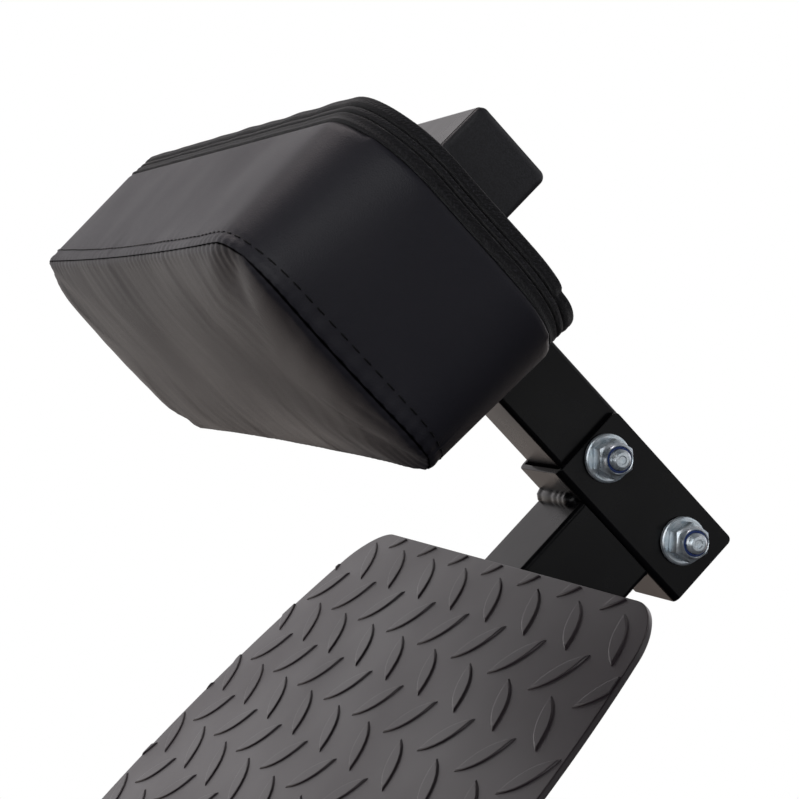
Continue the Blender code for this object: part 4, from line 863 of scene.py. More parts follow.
class BENCH_OT_stage(bpy.types.Operator):
    """Add the camera, the lamps, the world and the floor"""

    bl_idname = "bench.stage"
    bl_label = "Stage and camera"

    def execute(self, context):
        scene = context.scene
        scene.view_settings.view_transform = "Standard"
        camera = bpy.data.objects.new("photo_camera", bpy.data.cameras.new("photo_camera"))
        scene.collection.objects.link(camera)
        camera.data.sensor_width = 36.0
        camera.data.lens = CAMERA_LENS
        camera.data.clip_start = 0.01
        up = CAMERA_BACK.cross(CAMERA_RIGHT)
        turn = Matrix((CAMERA_RIGHT, up, CAMERA_BACK)).transposed().to_4x4()
        camera.matrix_world = Matrix.Translation(CAMERA_PLACE) @ turn
        scene.camera = camera
        # The lamps point at a place beside the calf post.
        centre = LEG_LINE @ Vector((0.08, 0.05, -0.08))
        # Each lamp: its way from there, its size, its power and its colour
        lamps = (
            ("key_softbox", Vector((1.15, 1.6, 0.5)), 1.6, 18.0, (1.0, 1.0, 1.0)),
            ("fill_softbox", Vector((-1.5, 0.9, 0.9)), 1.2, 4.0, (1.0, 1.0, 1.0)),
            ("front_softbox", Vector((-0.81, 1.43, -0.05)), 0.6, 1.0, (1.0, 1.0, 1.0)),
            ("rear_softbox", Vector((0.6, -1.3, 2.2)), 1.2, 16.0, (1.0, 0.9, 0.9)),
        )
        for name, way, size, power, colour in lamps:
            lamp = bpy.data.lights.new(name, "AREA")
            lamp.shape = "SQUARE"
            lamp.size = size
            lamp.energy = power
            lamp.color = colour
            stand = bpy.data.objects.new(name, lamp)
            scene.collection.objects.link(stand)
            stand.matrix_world = (
                Matrix.Translation(centre + way) @ way.to_track_quat("Z", "Y").to_matrix().to_4x4()
            )
        self.add_world(scene)
        bpy.ops.object.select_all(action="DESELECT")
        bpy.ops.mesh.primitive_circle_add(vertices=96, radius=8.0, fill_type="NGON")
        floor = context.object
        floor.name = "studio_floor"
        floor.location = (0, 0, -0.0005)
        bpy.ops.object.transform_apply(location=True, rotation=True, scale=True)
        floor.data.materials.append(studio_floor())
        return {"FINISHED"}

    def add_world(self, scene):
        """White behind the bench, where the grazing faces mirror it, and a dim room in front."""
        world = bpy.data.worlds.new("studio_room")
        scene.world = world
        world.use_nodes = True
        tree = world.node_tree
        tree.nodes.clear()
        way = add_node(tree, "TexCoord").outputs["Generated"]
        parts = add_node(tree, "SeparateXYZ", [way]).outputs
        depth = add_node(tree, "MapRange", (parts["Y"], -0.35, 0.55, 1.15, 0.08))
        # The white backdrop is about as high as the bench, and the room above it is dim.
        height = add_node(tree, "MapRange", (parts["Z"], 0.26, 0.52, 1.0, 0.25))
        room = add_node(tree, "Math", (depth, height), operation="MULTIPLY")
        side = add_node(tree, "MapRange", (parts["Y"], -0.35, 0.55, 0.0, 1.0))
        tint = add_node(
            tree, "Mix", {0: side, 6: (1.0, 0.96, 0.98, 1), 7: (0.88, 0.90, 1.0, 1)}, data_type="RGBA"
        ).outputs[2]
        glow = add_node(tree, "Background", {"Color": tint, "Strength": room})
        white = add_node(tree, "Background", {"Color": (1, 1, 1, 1), "Strength": 1.0})
        rays = add_node(tree, "LightPath").outputs
        seen = add_node(
            tree, "Math", (rays["Is Camera Ray"], rays["Is Transmission Ray"]), operation="MAXIMUM"
        )
        add_node(tree, "OutputWorld", [add_node(tree, "MixShader", (seen, glow, white))])


def calf_place(back):
    """The calf cushion's own directions: local Z from its board to its face, a little askew."""
    return LEG_LINE @ Matrix.Translation((CALF_TUBE_PLACE, 0, back)) @ Matrix.Rotation(
        CALF_TURN, 4, "Z"
    ) @ Matrix.Rotation(math.pi, 4, "X")


class BENCH_OT_calf_cushion(bpy.types.Operator):
    """Add the calf cushion with its seam and stitches"""

    bl_idname = "bench.calf_cushion"
    bl_label = "Calf cushion"

    def execute(self, context):
        place = calf_place(-(SMALL_TUBE + TOUCH + BOARD_THICKNESS + TOUCH))
        place = place @ Matrix.Translation((-CALF_DROP, 0, 0))
        cover, row = make_cushion(
            "calf_cushion", CALF_BASE, CALF_FACE, CALF_SEAM, CALF_DOME, place, 1.0, CALF_RISE
        )
        hand_over(cover, "vinyl", "frame", "calf_pad")
        hand_over(row, "thread", "frame")
        return {"FINISHED"}


class BENCH_OT_zip_tapes(bpy.types.Operator):
    """Add the woven tapes and the zip round the calf cushion's base"""

    bl_idname = "bench.zip_tapes"
    bl_label = "Zip tapes"

    # Each band: distance from the post side to its two edges, how proud it stands, how
    # hollow it is, and its thickness
    bands = {
        "zip_tape_inner": (0.0080, 0.0131, 0.0006, 0.0009, 0.0030),
        "zip_tape_middle": (0.0046, 0.0068, 0.0004, 0.0, 0.0030),
        "zip_tape_outer": (-0.0014, 0.0034, 0.0010, 0.0003, 0.0034),
    }

    def execute(self, context):
        place = calf_place(-(SMALL_TUBE + TOUCH))
        outline = rounded_outline(*CALF_TAPE, 16, 0.0025)
        core = [(-0.0052, 0.0002), (-0.0022, 0.0002), (-0.0022, 0.0133), (-0.0052, 0.0133)]
        ground = self.band("calf_pad_zip_ground", outline, core, place, 0.0)
        hand_over(ground, "tape", "frame", "calf_pad_zip")
        for number, (name, sizes) in enumerate(self.bands.items()):
            low, high, proud, hollow, thick = sizes
            profile = []
            for step in range(9):
                share = step / 8
                bow = math.sin(math.pi * share)
                rim = 1 - (2 * share - 1) ** 6
                out = proud * rim - hollow * bow**2 - (1 - rim) * 0.0005
                profile.append((out, low + (high - low) * share))
            profile += [(proud - thick, high), (proud - thick, low)]
            tape = self.band(name, outline, profile, place, 0.0002 + 0.0001 * number)
            hand_over(tape, "tape_light" if name == "zip_tape_middle" else "tape", "frame")
        end = self.zip_end(place)
        hand_over(end, "tape", "frame")
        return {"FINISHED"}

    def band(self, name, outline, profile, place, waver):
        """A band of that (proud, height) profile round an outline, wavering like cloth."""
        rings = []
        for out, height in profile:
            ring = []
            for point, normal in zip(outline, outward(outline)):
                seed = Vector((point.x * 40, point.y * 40, height * 60))
                move = out + waver * noise.noise(seed) if waver else out
                rise = waver * 1.2 * noise.noise(seed + Vector((9, 0, 0))) if waver else 0.0
                # The upper rim lies lower than the cushion's edge, as the cloth is pulled back.
                move -= 0.0014 * max(0.0, normal.x) * max(0.0, 1 - height / 0.0134)
                if name == "zip_tape_outer" and normal.y < -0.5:
                    move -= 0.0030 * math.exp(-((point.x + 0.0450) / 0.0036) ** 2)
                if height < 0 and normal.x < -0.5:
                    # The lower edge rides over the post.
                    rise += 0.0011 * math.exp(-(point.y / 0.030) ** 8)
                ring.append(point + normal * move + Vector((0, 0, height + rise)))
            rings.append(ring)
        tape = loft(name, rings, "ring", pattern=True)
        smooth(tape, 60.0)
        return settle(tape, place)

    def zip_end(self, place):
        """The folded end of the zip's outer tape, tucked in at the lower near corner."""
        half_x, half_y, radius = CALF_TAPE
        centre = Vector((radius - half_x, radius - half_y, 0))
        rings = []
        for step in range(25):
            share = step / 24
            angle = math.radians(230 - 47 * share)
            normal = Vector((math.cos(angle), math.sin(angle), 0))
            fold = math.sin(math.pi * min(1.0, share * 1.04 + 0.02)) ** 0.6
            bulge = 0.0014 * fold + 0.0004 * noise.noise(Vector((share * 9, 2, 0)))
            width = 0.0011 + 0.0014 * fold + 0.0004 * noise.noise(Vector((share * 7, 5, 0)))
            ring = []
            for turn in (2 * math.pi * part / 12 for part in range(12)):
                out = radius - 0.0005 + bulge * math.cos(turn)
                ring.append(centre + normal * out + Vector((0, 0, 0.0015 + width * math.sin(turn))))
            rings.append(ring)
        tab = loft("zip_tape_end", rings, "fill", pattern=True)
        smooth(tab, 60.0)
        return settle(tab, place)


class BENCH_OT_calf_tubes(bpy.types.Operator):
    """Add the calf pad's post, its cross tube and the tube's end caps"""

    bl_idname = "bench.calf_tubes"
    bl_label = "Calf post and cross tube"

    def execute(self, context):
        half = CALF_TUBE_LENGTH / 2
        post = square_tube(
            "calf_post_tube", SMALL_TUBE, -BRACKET_LENGTH, CALF_POST_END - TOUCH, "X",
            (0, 0, -SMALL_TUBE / 2),
        )
        hand_over(post, "coat", "frame", "calf_post")
        cross = square_tube(
            "calf_cross_square_tube", SMALL_TUBE, -half, half, "Y",
            (CALF_TUBE_PLACE, 0, -SMALL_TUBE / 2),
        )
        hand_over(cross, "coat", "frame", "calf_cross_tube")
        for side, sign in SIDES.items():
            place = LEG_LINE @ Matrix.Translation(
                (CALF_TUBE_PLACE, sign * half, -SMALL_TUBE / 2)
            ) @ quarter_turn("X", -sign)
            hand_over(tube_plug("tube_cap_" + side, place), "plastic", "frame", "calf_tube_cap_" + side)
        return {"FINISHED"}


def tube_plug(name, place):
    """A moulded end cap: a lip as large as the tube, and a plug inside it."""
    half = SMALL_TUBE / 2
    bore = half - TUBE_WALL - TOUCH
    profile = (
        (bore, -0.018, 0.0015), (bore, TOUCH, 0.0015), (half - 0.0012, TOUCH, CAP_CORNER),
        (half - 0.0004, TOUCH + 0.0004, CAP_CORNER), (half, TOUCH + 0.0012, CAP_CORNER),
        (half, 0.0020, CAP_CORNER), (half - 0.0004, 0.0028, CAP_CORNER),
        (half - 0.0013, 0.0034, CAP_CORNER), (half - 0.0024, 0.0037, CAP_CORNER),
        (half - 0.0034, 0.0038, CAP_CORNER),
    )
    rings = [raised(rounded_outline(size, size, edge, 8), height) for size, height, edge in profile]
    cap = settle(loft(name, rings), place)
    smooth(cap, 40.0)
    return cap


class BENCH_OT_post_bracket(bpy.types.Operator):
    """Add the channel-shaped bracket round the post's lower end"""

    bl_idname = "bench.post_bracket"
    bl_label = "Post bracket"

    def execute(self, context):
        width = SMALL_TUBE + 2 * BRACKET_GAP
        depth = SMALL_TUBE + BRACKET_GAP
        piece = block(
            "bracket_channel", (BRACKET_LENGTH, width, depth - BRACKET_FLANGE_DROP),
            (-BRACKET_LENGTH / 2, 0, -(depth + BRACKET_FLANGE_DROP) / 2),
        )
        pick(piece, "FACE", lambda face: face.normal.z > 0.9 or abs(face.normal.x) > 0.9)
        bpy.ops.mesh.delete(type="FACE")
        pick(piece, "EDGE", lambda edge: len(edge.link_faces) == 2)
        bpy.ops.mesh.bevel(offset=BRACKET_BEND - BRACKET_WALL, segments=8, affect="EDGES")
        pick(piece, "VERT", lambda vert: abs(vert.co.z + BRACKET_FLANGE_DROP) < 0.001)
        bpy.ops.mesh.bevel(offset=BRACKET_CORNER, segments=6, affect="VERTICES")
        bpy.ops.object.mode_set(mode="OBJECT")
        apply(piece, "wall", "SOLIDIFY", thickness=BRACKET_WALL, offset=1.0, use_even_offset=True)
        settle(piece)
        soften(piece, 0.0005, 40.0)
        hand_over(piece, "coat", "frame", "post_bracket")
        return {"FINISHED"}


def hexagon_ring(across, height, dome=0.0, inner=0.0):
    """48 points round a hexagon. Points past the inner radius drop by the dome's slope."""
    points = []
    for step in range(48):
        turn = 2 * math.pi * step / 48
        side = (turn % math.radians(60)) - math.radians(30)
        radius = across / 2 / math.cos(side)
        drop = max(0.0, radius - inner) * dome
        points.append((radius * math.cos(turn), radius * math.sin(turn), height - drop))
    return points


class BENCH_OT_fasteners(bpy.types.Operator):
    """Add the bolts, washers and nyloc nuts of the post bracket"""

    bl_idname = "bench.fasteners"
    bl_label = "Bracket bolts"

    def execute(self, context):
        back = FLANGE_FACE + TOUCH
        front = back + WASHER_THICKNESS
        nut_back = front + TOUCH
        for number, (name, x) in enumerate(BOLT_PLACES.items()):
            left = LEG_LINE @ Matrix.Translation((x, 0, -BOLT_DROP)) @ quarter_turn("X", -1)
            right = left @ Matrix.Rotation(math.pi, 4, "X")
            spin = Matrix.Rotation(math.radians(15 - 2 * number), 4, "Z")
            for side, place in (("left", left), ("right", right)):
                self.washer(side + "_" + name, place, back)
            self.nut(name, left @ spin, nut_back)
            self.bolt(name, left, right @ spin, nut_back)
        return {"FINISHED"}

    def washer(self, name, place, back):
        """A plain washer with a rolled outer edge."""
        front = back + WASHER_THICKNESS
        bore = BOLT_RADIUS + 0.0005
        rim = WASHER_RADIUS
        profile = (
            (bore, back), (rim - 0.0005, back), (rim, back + 0.0005), (rim, front - 0.0011),
            (rim - 0.0003, front - 0.0004), (rim - 0.0010, front), (rim - 0.0013, front),
            (bore + 0.0006, front), (bore + 0.0003, front), (bore, front - 0.0003),
        )
        piece = lathe("washer_" + name, profile, place, 64, "ring")
        smooth(piece, 35.0)
        hand_over(piece, "zinc", "frame", "bracket_washer_" + name)

    def nut(self, name, place, base):
        """A nyloc nut: chamfered hexagon, rolled collar and the blue insert in it."""
        top = base + NUT_HEIGHT
        end = top + COLLAR_HEIGHT
        inner = NUT_ACROSS / 2 * 0.975
        bore = BOLT_RADIUS + 0.0004
        rings = [
            round_ring(bore, base),
            round_ring(inner, base),
            hexagon_ring(NUT_ACROSS, base, -0.5, inner),
            hexagon_ring(NUT_ACROSS, top, 0.577, inner),
            round_ring(inner, top),
        ]
        rings += [
            round_ring(COLLAR_RADIUS + wider, height)
            for wider, height in (
                (0.0005, top + 0.0003), (0.0001, top + 0.0008), (0.0, end - 0.0016),
                (-0.0003, end - 0.0007), (-0.0006, end - 0.0001), (-0.0010, end - 0.0003),
                (-0.0011, end - 0.0008), (-0.0011, top),
            )
        ]
        rings.append(round_ring(bore, top - 0.0003))
        nut = settle(loft("nyloc_nut_" + name, rings, "ring"), place)
        smooth(nut, 30.0)
        hand_over(nut, "zinc", "frame", "bracket_nut_" + name)
        ring = COLLAR_RADIUS - 0.00115
        insert = lathe(
            "nyloc_insert_" + name,
            ((bore - 0.0003, top), (ring, top), (ring, end - 0.0007), (ring - 0.0003, end - 0.0004),
             (bore, end - 0.0004), (bore - 0.0003, end - 0.0008)),
            place, 48, "ring",
        )
        smooth(insert, 40.0)
        hand_over(insert, "nylon", "frame")

    def bolt(self, name, left, right, base):
        """A hexagon bolt with turned thread grooves at its end."""
        tip = base + NUT_HEIGHT + COLLAR_HEIGHT + BOLT_STICK_OUT
        radius = BOLT_RADIUS
        profile = [(0.0, -base - 0.001), (radius, -base - 0.001)]
        height = base + NUT_HEIGHT + 0.002
        while height < tip - 0.0014:
            profile += [(radius, height), (radius - 0.0009, height + THREAD_PITCH * 0.42),
                        (radius - 0.0009, height + THREAD_PITCH * 0.55)]
            height += THREAD_PITCH
        profile += [
            (radius, tip - 0.0013), (radius - 0.0002, tip - 0.0010), (radius - 0.0013, tip - 0.0001),
            (radius - 0.0016, tip), (0.0022, tip), (0.0018, tip - 0.0004), (0.0, tip - 0.0005),
        ]
        shank = lathe("bolt_shank_" + name, profile, left, 48)
        smooth(shank, 30.0)
        top = base + HEAD_HEIGHT
        inner = HEAD_ACROSS / 2 * 0.96
        rings = [
            round_ring(inner, base), hexagon_ring(HEAD_ACROSS, base + 0.0003),
            hexagon_ring(HEAD_ACROSS, top, 0.577, inner), round_ring(inner, top),
            round_ring(inner - 0.0006, top),
        ]
        head = settle(loft("bolt_head_" + name, rings), right)
        smooth(head, 30.0)
        hand_over(shank, "zinc", "frame", "bracket_bolt_" + name)
        hand_over(head, "zinc", "frame")


def plate_side(drop):
    """Half the foot plate's width at a place along the rail: an arc that bows outwards."""
    fall = PLATE_SIDE_RADIUS - math.sqrt(PLATE_SIDE_RADIUS**2 - (drop - PLATE_WIDEST) ** 2)
    return PLATE_WIDTH / 2 - fall


def plate_outline():
    """The foot plate's outline: x down the rail, y across."""
    corner = PLATE_CORNER
    turns = [math.radians(90) * step / 16 for step in range(17)]
    half = []
    for angle in turns:
        drop = PLATE_HEEL + corner * (1 - math.cos(angle))
        half.append((drop, plate_side(drop) - corner * (1 - math.sin(angle))))
    for step in range(1, 30):
        drop = PLATE_HEEL + corner + (PLATE_TOE - PLATE_HEEL - 2 * corner) * step / 30
        half.append((drop, plate_side(drop)))
    for angle in turns:
        drop = PLATE_TOE - corner * (1 - math.sin(angle))
        half.append((drop, plate_side(drop) - corner * (1 - math.cos(angle))))
    left = [Vector((drop, PLATE_SIDE_SHIFT + across, 0)) for drop, across in half]
    return left + [
        Vector((drop, PLATE_SIDE_SHIFT - across, 0)) for drop, across in reversed(half)
    ]


class BENCH_OT_foot_plate(bpy.types.Operator):
    """Add the foot plate with its raised tread"""

    bl_idname = "bench.foot_plate"
    bl_label = "Foot plate"

    def execute(self, context):
        place = LEG_LINE @ Matrix.Translation((-RAIL_DROP + TOUCH, 0, 0)) @ quarter_turn("Y")
        outline = plate_outline()
        levels = ((0.0006, 0.0), (0.0, 0.0006), (0.0, PLATE_THICKNESS - 0.0007),
                  (0.0002, PLATE_THICKNESS - 0.0002), (0.0007, PLATE_THICKNESS))
        rings = [raised(inset_outline(outline, inset), height) for inset, height in levels]
        sheet = loft("tread_plate_sheet", rings)
        smooth(sheet, 40.0)
        settle(sheet, place)
        hand_over(sheet, "tread", "frame", "foot_plate")
        lugs = self.lugs()
        self.trim(lugs, outline)
        smooth(lugs, 40.0)
        settle(lugs, place)
        hand_over(lugs, "tread", "frame")
        return {"FINISHED"}

    def lugs(self):
        """All the lens-shaped lugs, modelled once and copied in crossing rows."""
        half_length, half_width = LUG_SIZE
        bow = (half_length**2 + half_width**2) / (2 * half_width)
        lens = []
        for side in (1, -1):
            for step in range(6):
                x = side * half_length * (1 - step / 3)
                y = side * (math.sqrt(bow**2 - x**2) - (bow - half_width))
                lens.append((x, y))
        top = PLATE_THICKNESS
        levels = ((1.0, -0.0004), (0.99, 0.0002), (0.93, 0.0006), (0.89, 0.00076), (0.80, 0.0008))
        rings = [[(x * size, y * size, top + height) for x, y in lens] for size, height in levels]
        one = loft("tread_lug", rings)
        copies = []
        rows = int((PLATE_TOE - PLATE_HEEL) / LUG_PITCH * 2) + 3
        for row in range(-1, rows):
            drop = LUG_FIRST_ROW + row * LUG_PITCH / 2
            for column in range(-6, 7):
                across = LUG_SIDE_SHIFT + (row % 2) * LUG_PITCH / 2 + column * LUG_PITCH
                if abs(across) > PLATE_WIDTH / 2 + 0.02:
                    continue
                turn = Matrix.Rotation(math.radians(45 if row % 2 == 0 else -45), 4, "Z")
                copies.append(copied(one, Matrix.Translation((drop, across, 0)) @ turn))
        bpy.data.objects.remove(one)
        return joined(copies, "tread_lugs")

    def trim(self, lugs, outline):
        """Cut the lugs off at the plate's edge, as the shears do."""
        inner = inset_outline(outline, 0.0012)
        tool = loft("plate_shears", [raised(inner, height) for height in (-0.01, 0.02)])
        apply(lugs, "trim", "BOOLEAN", operation="INTERSECT", object=tool, solver="EXACT")
        bpy.data.objects.remove(tool)


def weld_bead(name, path, radius, place=LEG_LINE, closed=False):
    """A weld bead along a path in the local XY plane: lumps about 9 mm apart, one over the next."""
    ends = path[1:] + path[:1] if closed else path[1:]
    points = []
    for point, after in zip(path, ends):
        parts = max(1, round((after - point).length / 0.0014))
        points += [point.lerp(after, part / parts) for part in range(parts)]
    if not closed:
        points.append(path[-1])
    total = sum((after - point).length for point, after in zip(path, ends))
    rings = []
    walked = 0.0
    for index, point in enumerate(points):
        after = points[(index + 1) % len(points)] if closed or index + 1 < len(points) else point
        before = points[index - 1] if closed or index else point
        side = (after - before).normalized().cross(Vector((0, 0, 1)))
        lump = abs(math.sin(math.pi * walked / 0.009 + 2.0 * noise.noise(point * 60)))
        size = radius * (0.92 + 0.08 * lump)
        if not closed:
            left = min(walked, total - walked) / radius
            size *= math.sqrt(1 - (1 - min(left + 0.05, 1.0)) ** 2)
        rings.append([
            point + side * size * math.cos(turn) + Vector((0, 0, size * math.sin(turn)))
            for turn in (2 * math.pi * part / 10 for part in range(10))
        ])
        walked += (after - point).length
    bead = loft(name, rings, "ring" if closed else "fill")
    smooth(bead, 60.0)
    return settle(bead, place)


class BENCH_OT_weld_beads(bpy.types.Operator):
    """Add the weld beads at the rail, the uprights and the cross feet"""

    bl_idname = "bench.weld_beads"
    bl_label = "Weld beads"

    def execute(self, context):
        size = context.scene.bench_sizes.bead
        web = -WEB_FACE
        beads = [
            weld_bead(
                "weld_rail_to_bracket",
                [Vector((-RAIL_DROP, -0.024, web)), Vector((-RAIL_DROP, 0.017, web))], 2.05 * size,
            ),
            weld_bead(
                "weld_rail_below_bracket",
                [Vector((-RAIL_DROP - LARGE_TUBE, -0.018, web)),
                 Vector((-RAIL_DROP - LARGE_TUBE, 0.020, web))], size,
            ),
        ]
        half = LARGE_TUBE / 2
        square = rounded_outline(half, half, FRAME_CORNER, 4)
        for node in ("rear_upright", "front_upright", "main_beam"):
            low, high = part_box(node)
            if node == "main_beam":
                foot = rounded_outline(half * math.sqrt(2), half, FRAME_CORNER, 4)
                centre = Vector((low.x + half * math.sqrt(2), 0, low.z))
            else:
                foot = square
                centre = Vector(((low.x + high.x) / 2, 0, low.z))
            beads.append(weld_bead("weld_" + node, foot, size, Matrix.Translation(centre), True))
        low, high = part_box("floor_tube")
        for name, x in (("rear", low.x), ("front", high.x)):
            place = Matrix.Translation((x, 0, (low.z + high.z) / 2)) @ quarter_turn("Y")
            beads.append(weld_bead("weld_floor_tube_" + name, square, size, place, True))
        for bead in beads:
            hand_over(bead, "coat", "frame")
        return {"FINISHED"}


class BENCH_OT_frame_tubes(bpy.types.Operator):
    """Add the rail, beam, uprights, cross feet and the other steel of the frame"""

    bl_idname = "bench.frame_tubes"
    bl_label = "Frame tubes"

    def execute(self, context):
        rail = square_tube(
            "foot_rail_tube", LARGE_TUBE, -(BEAM_DROP - TOUCH), -(WEB_FACE + TOUCH), "Z",
            (-(RAIL_DROP + LARGE_TUBE / 2), 0, 0),
        )
        hand_over(rail, "coat", "frame", "foot_rail")
        hand_over_copies(
            "frame", "coat", "main_beam", "floor_tube", "rear_upright", "front_upright",
            "rear_cross_foot", "front_cross_foot", "foot_plate_gusset_left",
            "foot_plate_gusset_right", "clamp_boss", "wheel_fork_left", "wheel_fork_right",
        )
        hand_over_copies("frame", "plastic", "guide_bush")
        hand_over_copies("frame", "zinc", "pin_housing", "wheel_axle_left", "wheel_axle_right")
        hand_over_copies(
            "frame", "rubber", "foot_cap_front_left", "foot_cap_front_right",
            "foot_cap_rear_left", "foot_cap_rear_right",
        )
        return {"FINISHED"}


class BENCH_OT_wheels(bpy.types.Operator):
    """Add the transport wheels"""

    bl_idname = "bench.wheels"
    bl_label = "Wheels"

    def execute(self, context):
        tyre = (
            (0.0203, -0.0085), (0.0240, -0.0096), (0.0258, -0.0094), (0.0272, -0.0084),
            (0.0279, -0.0066), (0.0280, -0.0036), (0.0273, -0.0031), (0.0273, -0.0025),
            (0.0280, -0.0020),
        )
        hub = (
            (0.0206, -0.0090), (0.0198, -0.0090), (0.0192, -0.0042), (0.0120, -0.0034),
            (0.0092, -0.0050), (0.0088, -0.0098), (0.0080, -0.0100), (0.0044, -0.0100),
        )
        for side in SIDES:
            node = "wheel_" + side
            low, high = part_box(node)
            place = Matrix.Translation((low + high) / 2) @ quarter_turn("X")
            for name, half, finish, nodes in (
                ("tyre", tyre, "rubber", [node]), ("hub", hub, "plastic", []),
            ):
                mirrored = [(radius, -height) for radius, height in reversed(half)]
                piece = lathe(name + "_" + side, list(half) + mirrored, place, 48, "ring")
                smooth(piece, 35.0)
                hand_over(piece, finish, node, *nodes)
        return {"FINISHED"}


class BENCH_OT_pad_carriage(bpy.types.Operator):
    """Add the sliding tube, the riser, the plates and the handles"""

    bl_idname = "bench.pad_carriage"
    bl_label = "Pad carriage"

    def execute(self, context):
        hand_over_copies(
            "pad_carriage", "coat", "slider_tube", "pad_riser", "pad_cross_tube",
            "pad_plate_left", "pad_plate_right", "handle_left", "handle_right",
        )
        hand_over_copies("pad_carriage", "plastic", "slider_glide", "slider_cap")
        hand_over_copies("pad_carriage", "plywood", "hip_pad_board_left", "hip_pad_board_right")
        for side in SIDES:
            self.grip(side)
        riser = rounded_outline(SMALL_TUBE / 2, SMALL_TUBE / 2, FRAME_CORNER, 4)
        for name, height in RISER_ENDS.items():
            place = LEG_LINE @ Matrix.Translation((PAD_TUBE_PLACE, 0, height))
            bead = weld_bead(
                "weld_pad_riser_" + name, riser, context.scene.bench_sizes.bead, place, True
            )
            hand_over(bead, "coat", "pad_carriage")
        return {"FINISHED"}

    def grip(self, side):
        """A rubber grip with ribs round it, closed at its top."""
        low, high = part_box("grip_" + side)
        place = Matrix.Translation((low + high) / 2) @ Matrix.Rotation(
            HANDLE_LEAN - LEG_ANGLE, 4, "Y"
        )
        end = GRIP_LENGTH / 2
        profile = [(GRIP_BORE, -end), (GRIP_RADIUS - 0.001, -end), (GRIP_RADIUS, -end + 0.001),
                   (GRIP_RADIUS, -end + 0.0052), (GRIP_RADIUS - 0.001, -end + 0.0062)]
        for rib in range(24):
            height = -end + 0.008 + rib * 0.0041
            profile += [(GRIP_RADIUS - 0.0010, height), (GRIP_RADIUS - 0.0002, height + 0.0005),
                        (GRIP_RADIUS - 0.0002, height + 0.0024), (GRIP_RADIUS - 0.0010, height + 0.0029)]
        profile += [(GRIP_RADIUS, end - 0.0060), (GRIP_RADIUS, end - 0.0020),
                    (GRIP_RADIUS - 0.0006, end - 0.0006), (GRIP_RADIUS - 0.0022, end), (0.0, end)]
        grip = lathe("ribbed_" + side, profile, place, 40)
        smooth(grip, 50.0)
        hand_over(grip, "rubber", "pad_carriage", "grip_" + side)


class BENCH_OT_hip_cushions(bpy.types.Operator):
    """Add the two hip cushions with their seams and stitches"""

    bl_idname = "bench.hip_cushions"
    bl_label = "Hip cushions"

    def execute(self, context):
        for number, (side, sign) in enumerate(SIDES.items()):
            place = LEG_LINE @ Matrix.Translation(
                (PAD_TUBE_PLACE, sign * HIP_SIDE_PLACE, HIP_BOARD_TOP + TOUCH)
            )
            cover, row = make_cushion(
                "hip_cushion_" + side, HIP_BASE, HIP_FACE, HIP_SEAM, HIP_DOME, place, 11.0 + number
            )
            hand_over(cover, "vinyl", "pad_carriage", "hip_pad_" + side)
            hand_over(row, "thread", "pad_carriage")
            wrap, staples = self.wrap(side, place)
            hand_over(wrap, "vinyl", "pad_carriage")
            hand_over(staples, "zinc", "pad_carriage")
            self.screws(side, sign)
        return {"FINISHED"}

    def wrap(self, side, place):
        """The cover's edge, drawn round the board and stapled to its underside."""
        outline = rounded_outline(*HIP_BASE, 12, 0.006)
        under = -(HIP_BOARD_THICKNESS + TOUCH)
        levels = (
            (0.0012, 0.0), (0.0036, -0.0012), (0.0052, -0.0035), (0.0054, under + 0.001),
            (0.0060, under - 0.0004), (0.0110, under - 0.0007), (0.0225, under - 0.0005),
        )
        rings = []
        for inset, height in levels:
            ring = []
            for index, point in enumerate(inset_outline(outline, inset)):
                fold = 0.0004 * math.sin(index * 1.9) if inset > 0.01 else 0.0
                ring.append(point + Vector((0, 0, height - abs(fold))))
            rings.append(ring)
        wrap = loft("hip_cover_hem_" + side, rings, "open")
        apply(wrap, "cloth", "SOLIDIFY", thickness=0.0006, offset=0.0)
        smooth(wrap, 60.0)
        # The hem has no seam of its own, so it is marked as far from one.
        for item in measures(wrap, "from_seam")[0]:
            item.value = -1.0
        line = inset_outline(outline, STAPLE_INSET)
        places = []
        for index in range(0, len(line), 4):
            along = (line[(index + 1) % len(line)] - line[index - 1]).normalized()
            # Just past the edge between two faces, so that the same face is always the nearest
            places.append((line[index] + along * 0.0003 + Vector((0, 0, under - 0.0016)), along))
        staples = stitch_row(
            "hip_cover_staples_" + side, wrap, places, STAPLE_LENGTH, STAPLE_RADIUS
        )
        settle(wrap, place)
        settle(staples, place)
        return wrap, staples

    def screws(self, side, sign):
        """Four pan-head screws that hold the board on its plate."""
        profile = (
            (0.0, 0.0015), (0.0012, 0.0015), (0.0016, 0.0026), (0.0030, 0.0025), (0.0043, 0.0017),
            (0.0050, 0.0004), (0.0050, 0.0),
        )
        heads = []
        for end in (-1, 1):
            for edge in (-1, 1):
                x = PAD_TUBE_PLACE + end * HIP_SCREWS[0]
                y = sign * HIP_SIDE_PLACE + edge * HIP_SCREWS[1]
                spot = (x, y, HIP_PLATE_FACE)
                place = LEG_LINE @ Matrix.Translation(spot) @ Matrix.Rotation(math.pi, 4, "X")
                head = lathe("hip_board_screw", profile, place, 20)
                smooth(head, 40.0)
                heads.append(head)
        hand_over(joined(heads, "hip_board_screws_" + side), "zinc", "pad_carriage")


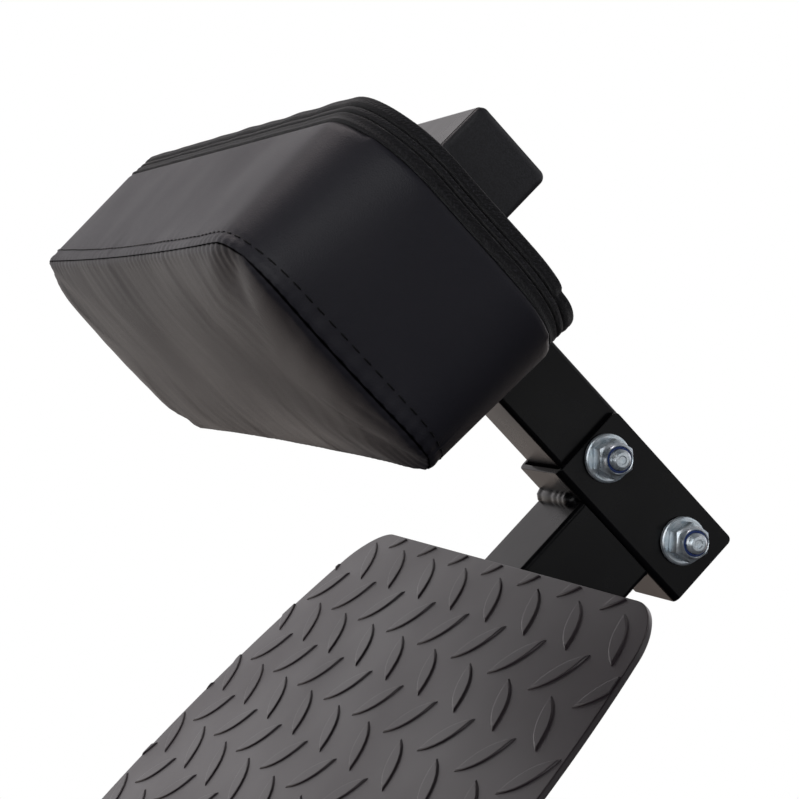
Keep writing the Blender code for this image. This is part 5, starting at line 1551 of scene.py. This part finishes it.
class BENCH_OT_pin_and_clamp(bpy.types.Operator):
    """Add the spring pin and the clamp knob"""

    bl_idname = "bench.pin_and_clamp"
    bl_label = "Spring pin and clamp"

    def execute(self, context):
        hand_over_copies("spring_pin", "zinc", "pin_plunger")
        hand_over_copies("spring_pin", "plastic", "pin_knob")
        hand_over_copies("clamp", "zinc", "clamp_screw")
        hand_over_copies("clamp", "plastic", "clamp_knob")
        # The spring, and the calf pad's board in its backing cloth, show as the frame has them.
        for node, finish in (("pin_spring", "spring"), ("calf_pad_board", "backing")):
            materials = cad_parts[node].data.materials
            materials.clear()
            materials.append(FINISHES[finish])
        return {"FINISHED"}


class BENCH_PT_pieces(bpy.types.Panel):
    """The bench's pieces, sizes and colours"""

    bl_idname = "BENCH_PT_pieces"
    bl_label = "Hyperextension bench"
    bl_space_type = "VIEW_3D"
    bl_region_type = "UI"
    bl_category = "Bench"

    def draw(self, context):
        layout = self.layout
        for piece in PIECES:
            layout.operator(piece.bl_idname)
        for group in (context.scene.bench_sizes, context.scene.bench_finishes):
            box = layout.box()
            for key in group.bl_rna.properties.keys():
                if key not in {"rna_type", "name"}:
                    box.prop(group, key)


PIECES = (
    BENCH_OT_stage,
    BENCH_OT_calf_cushion,
    BENCH_OT_zip_tapes,
    BENCH_OT_calf_tubes,
    BENCH_OT_post_bracket,
    BENCH_OT_fasteners,
    BENCH_OT_foot_plate,
    BENCH_OT_frame_tubes,
    BENCH_OT_weld_beads,
    BENCH_OT_wheels,
    BENCH_OT_pad_carriage,
    BENCH_OT_hip_cushions,
    BENCH_OT_pin_and_clamp,
)
CLASSES = (BenchSizes, BenchFinishes, *PIECES, BENCH_PT_pieces)


def register():
    """Register the sizes, the colours, the operators and the panel."""
    for kind in CLASSES:
        bpy.utils.register_class(kind)
    bpy.types.Scene.bench_sizes = bpy.props.PointerProperty(type=BenchSizes)
    bpy.types.Scene.bench_finishes = bpy.props.PointerProperty(type=BenchFinishes)


def unregister():
    """Remove all that register added."""
    del bpy.types.Scene.bench_finishes
    del bpy.types.Scene.bench_sizes
    for kind in reversed(CLASSES):
        bpy.utils.unregister_class(kind)


def main():
    """Build every piece in order."""
    register()
    make_finishes(bpy.context.scene.bench_finishes)
    for piece in PIECES:
        group, name = piece.bl_idname.split(".")
        getattr(getattr(bpy.ops, group), name)()


if __name__ == "__main__":
    main()
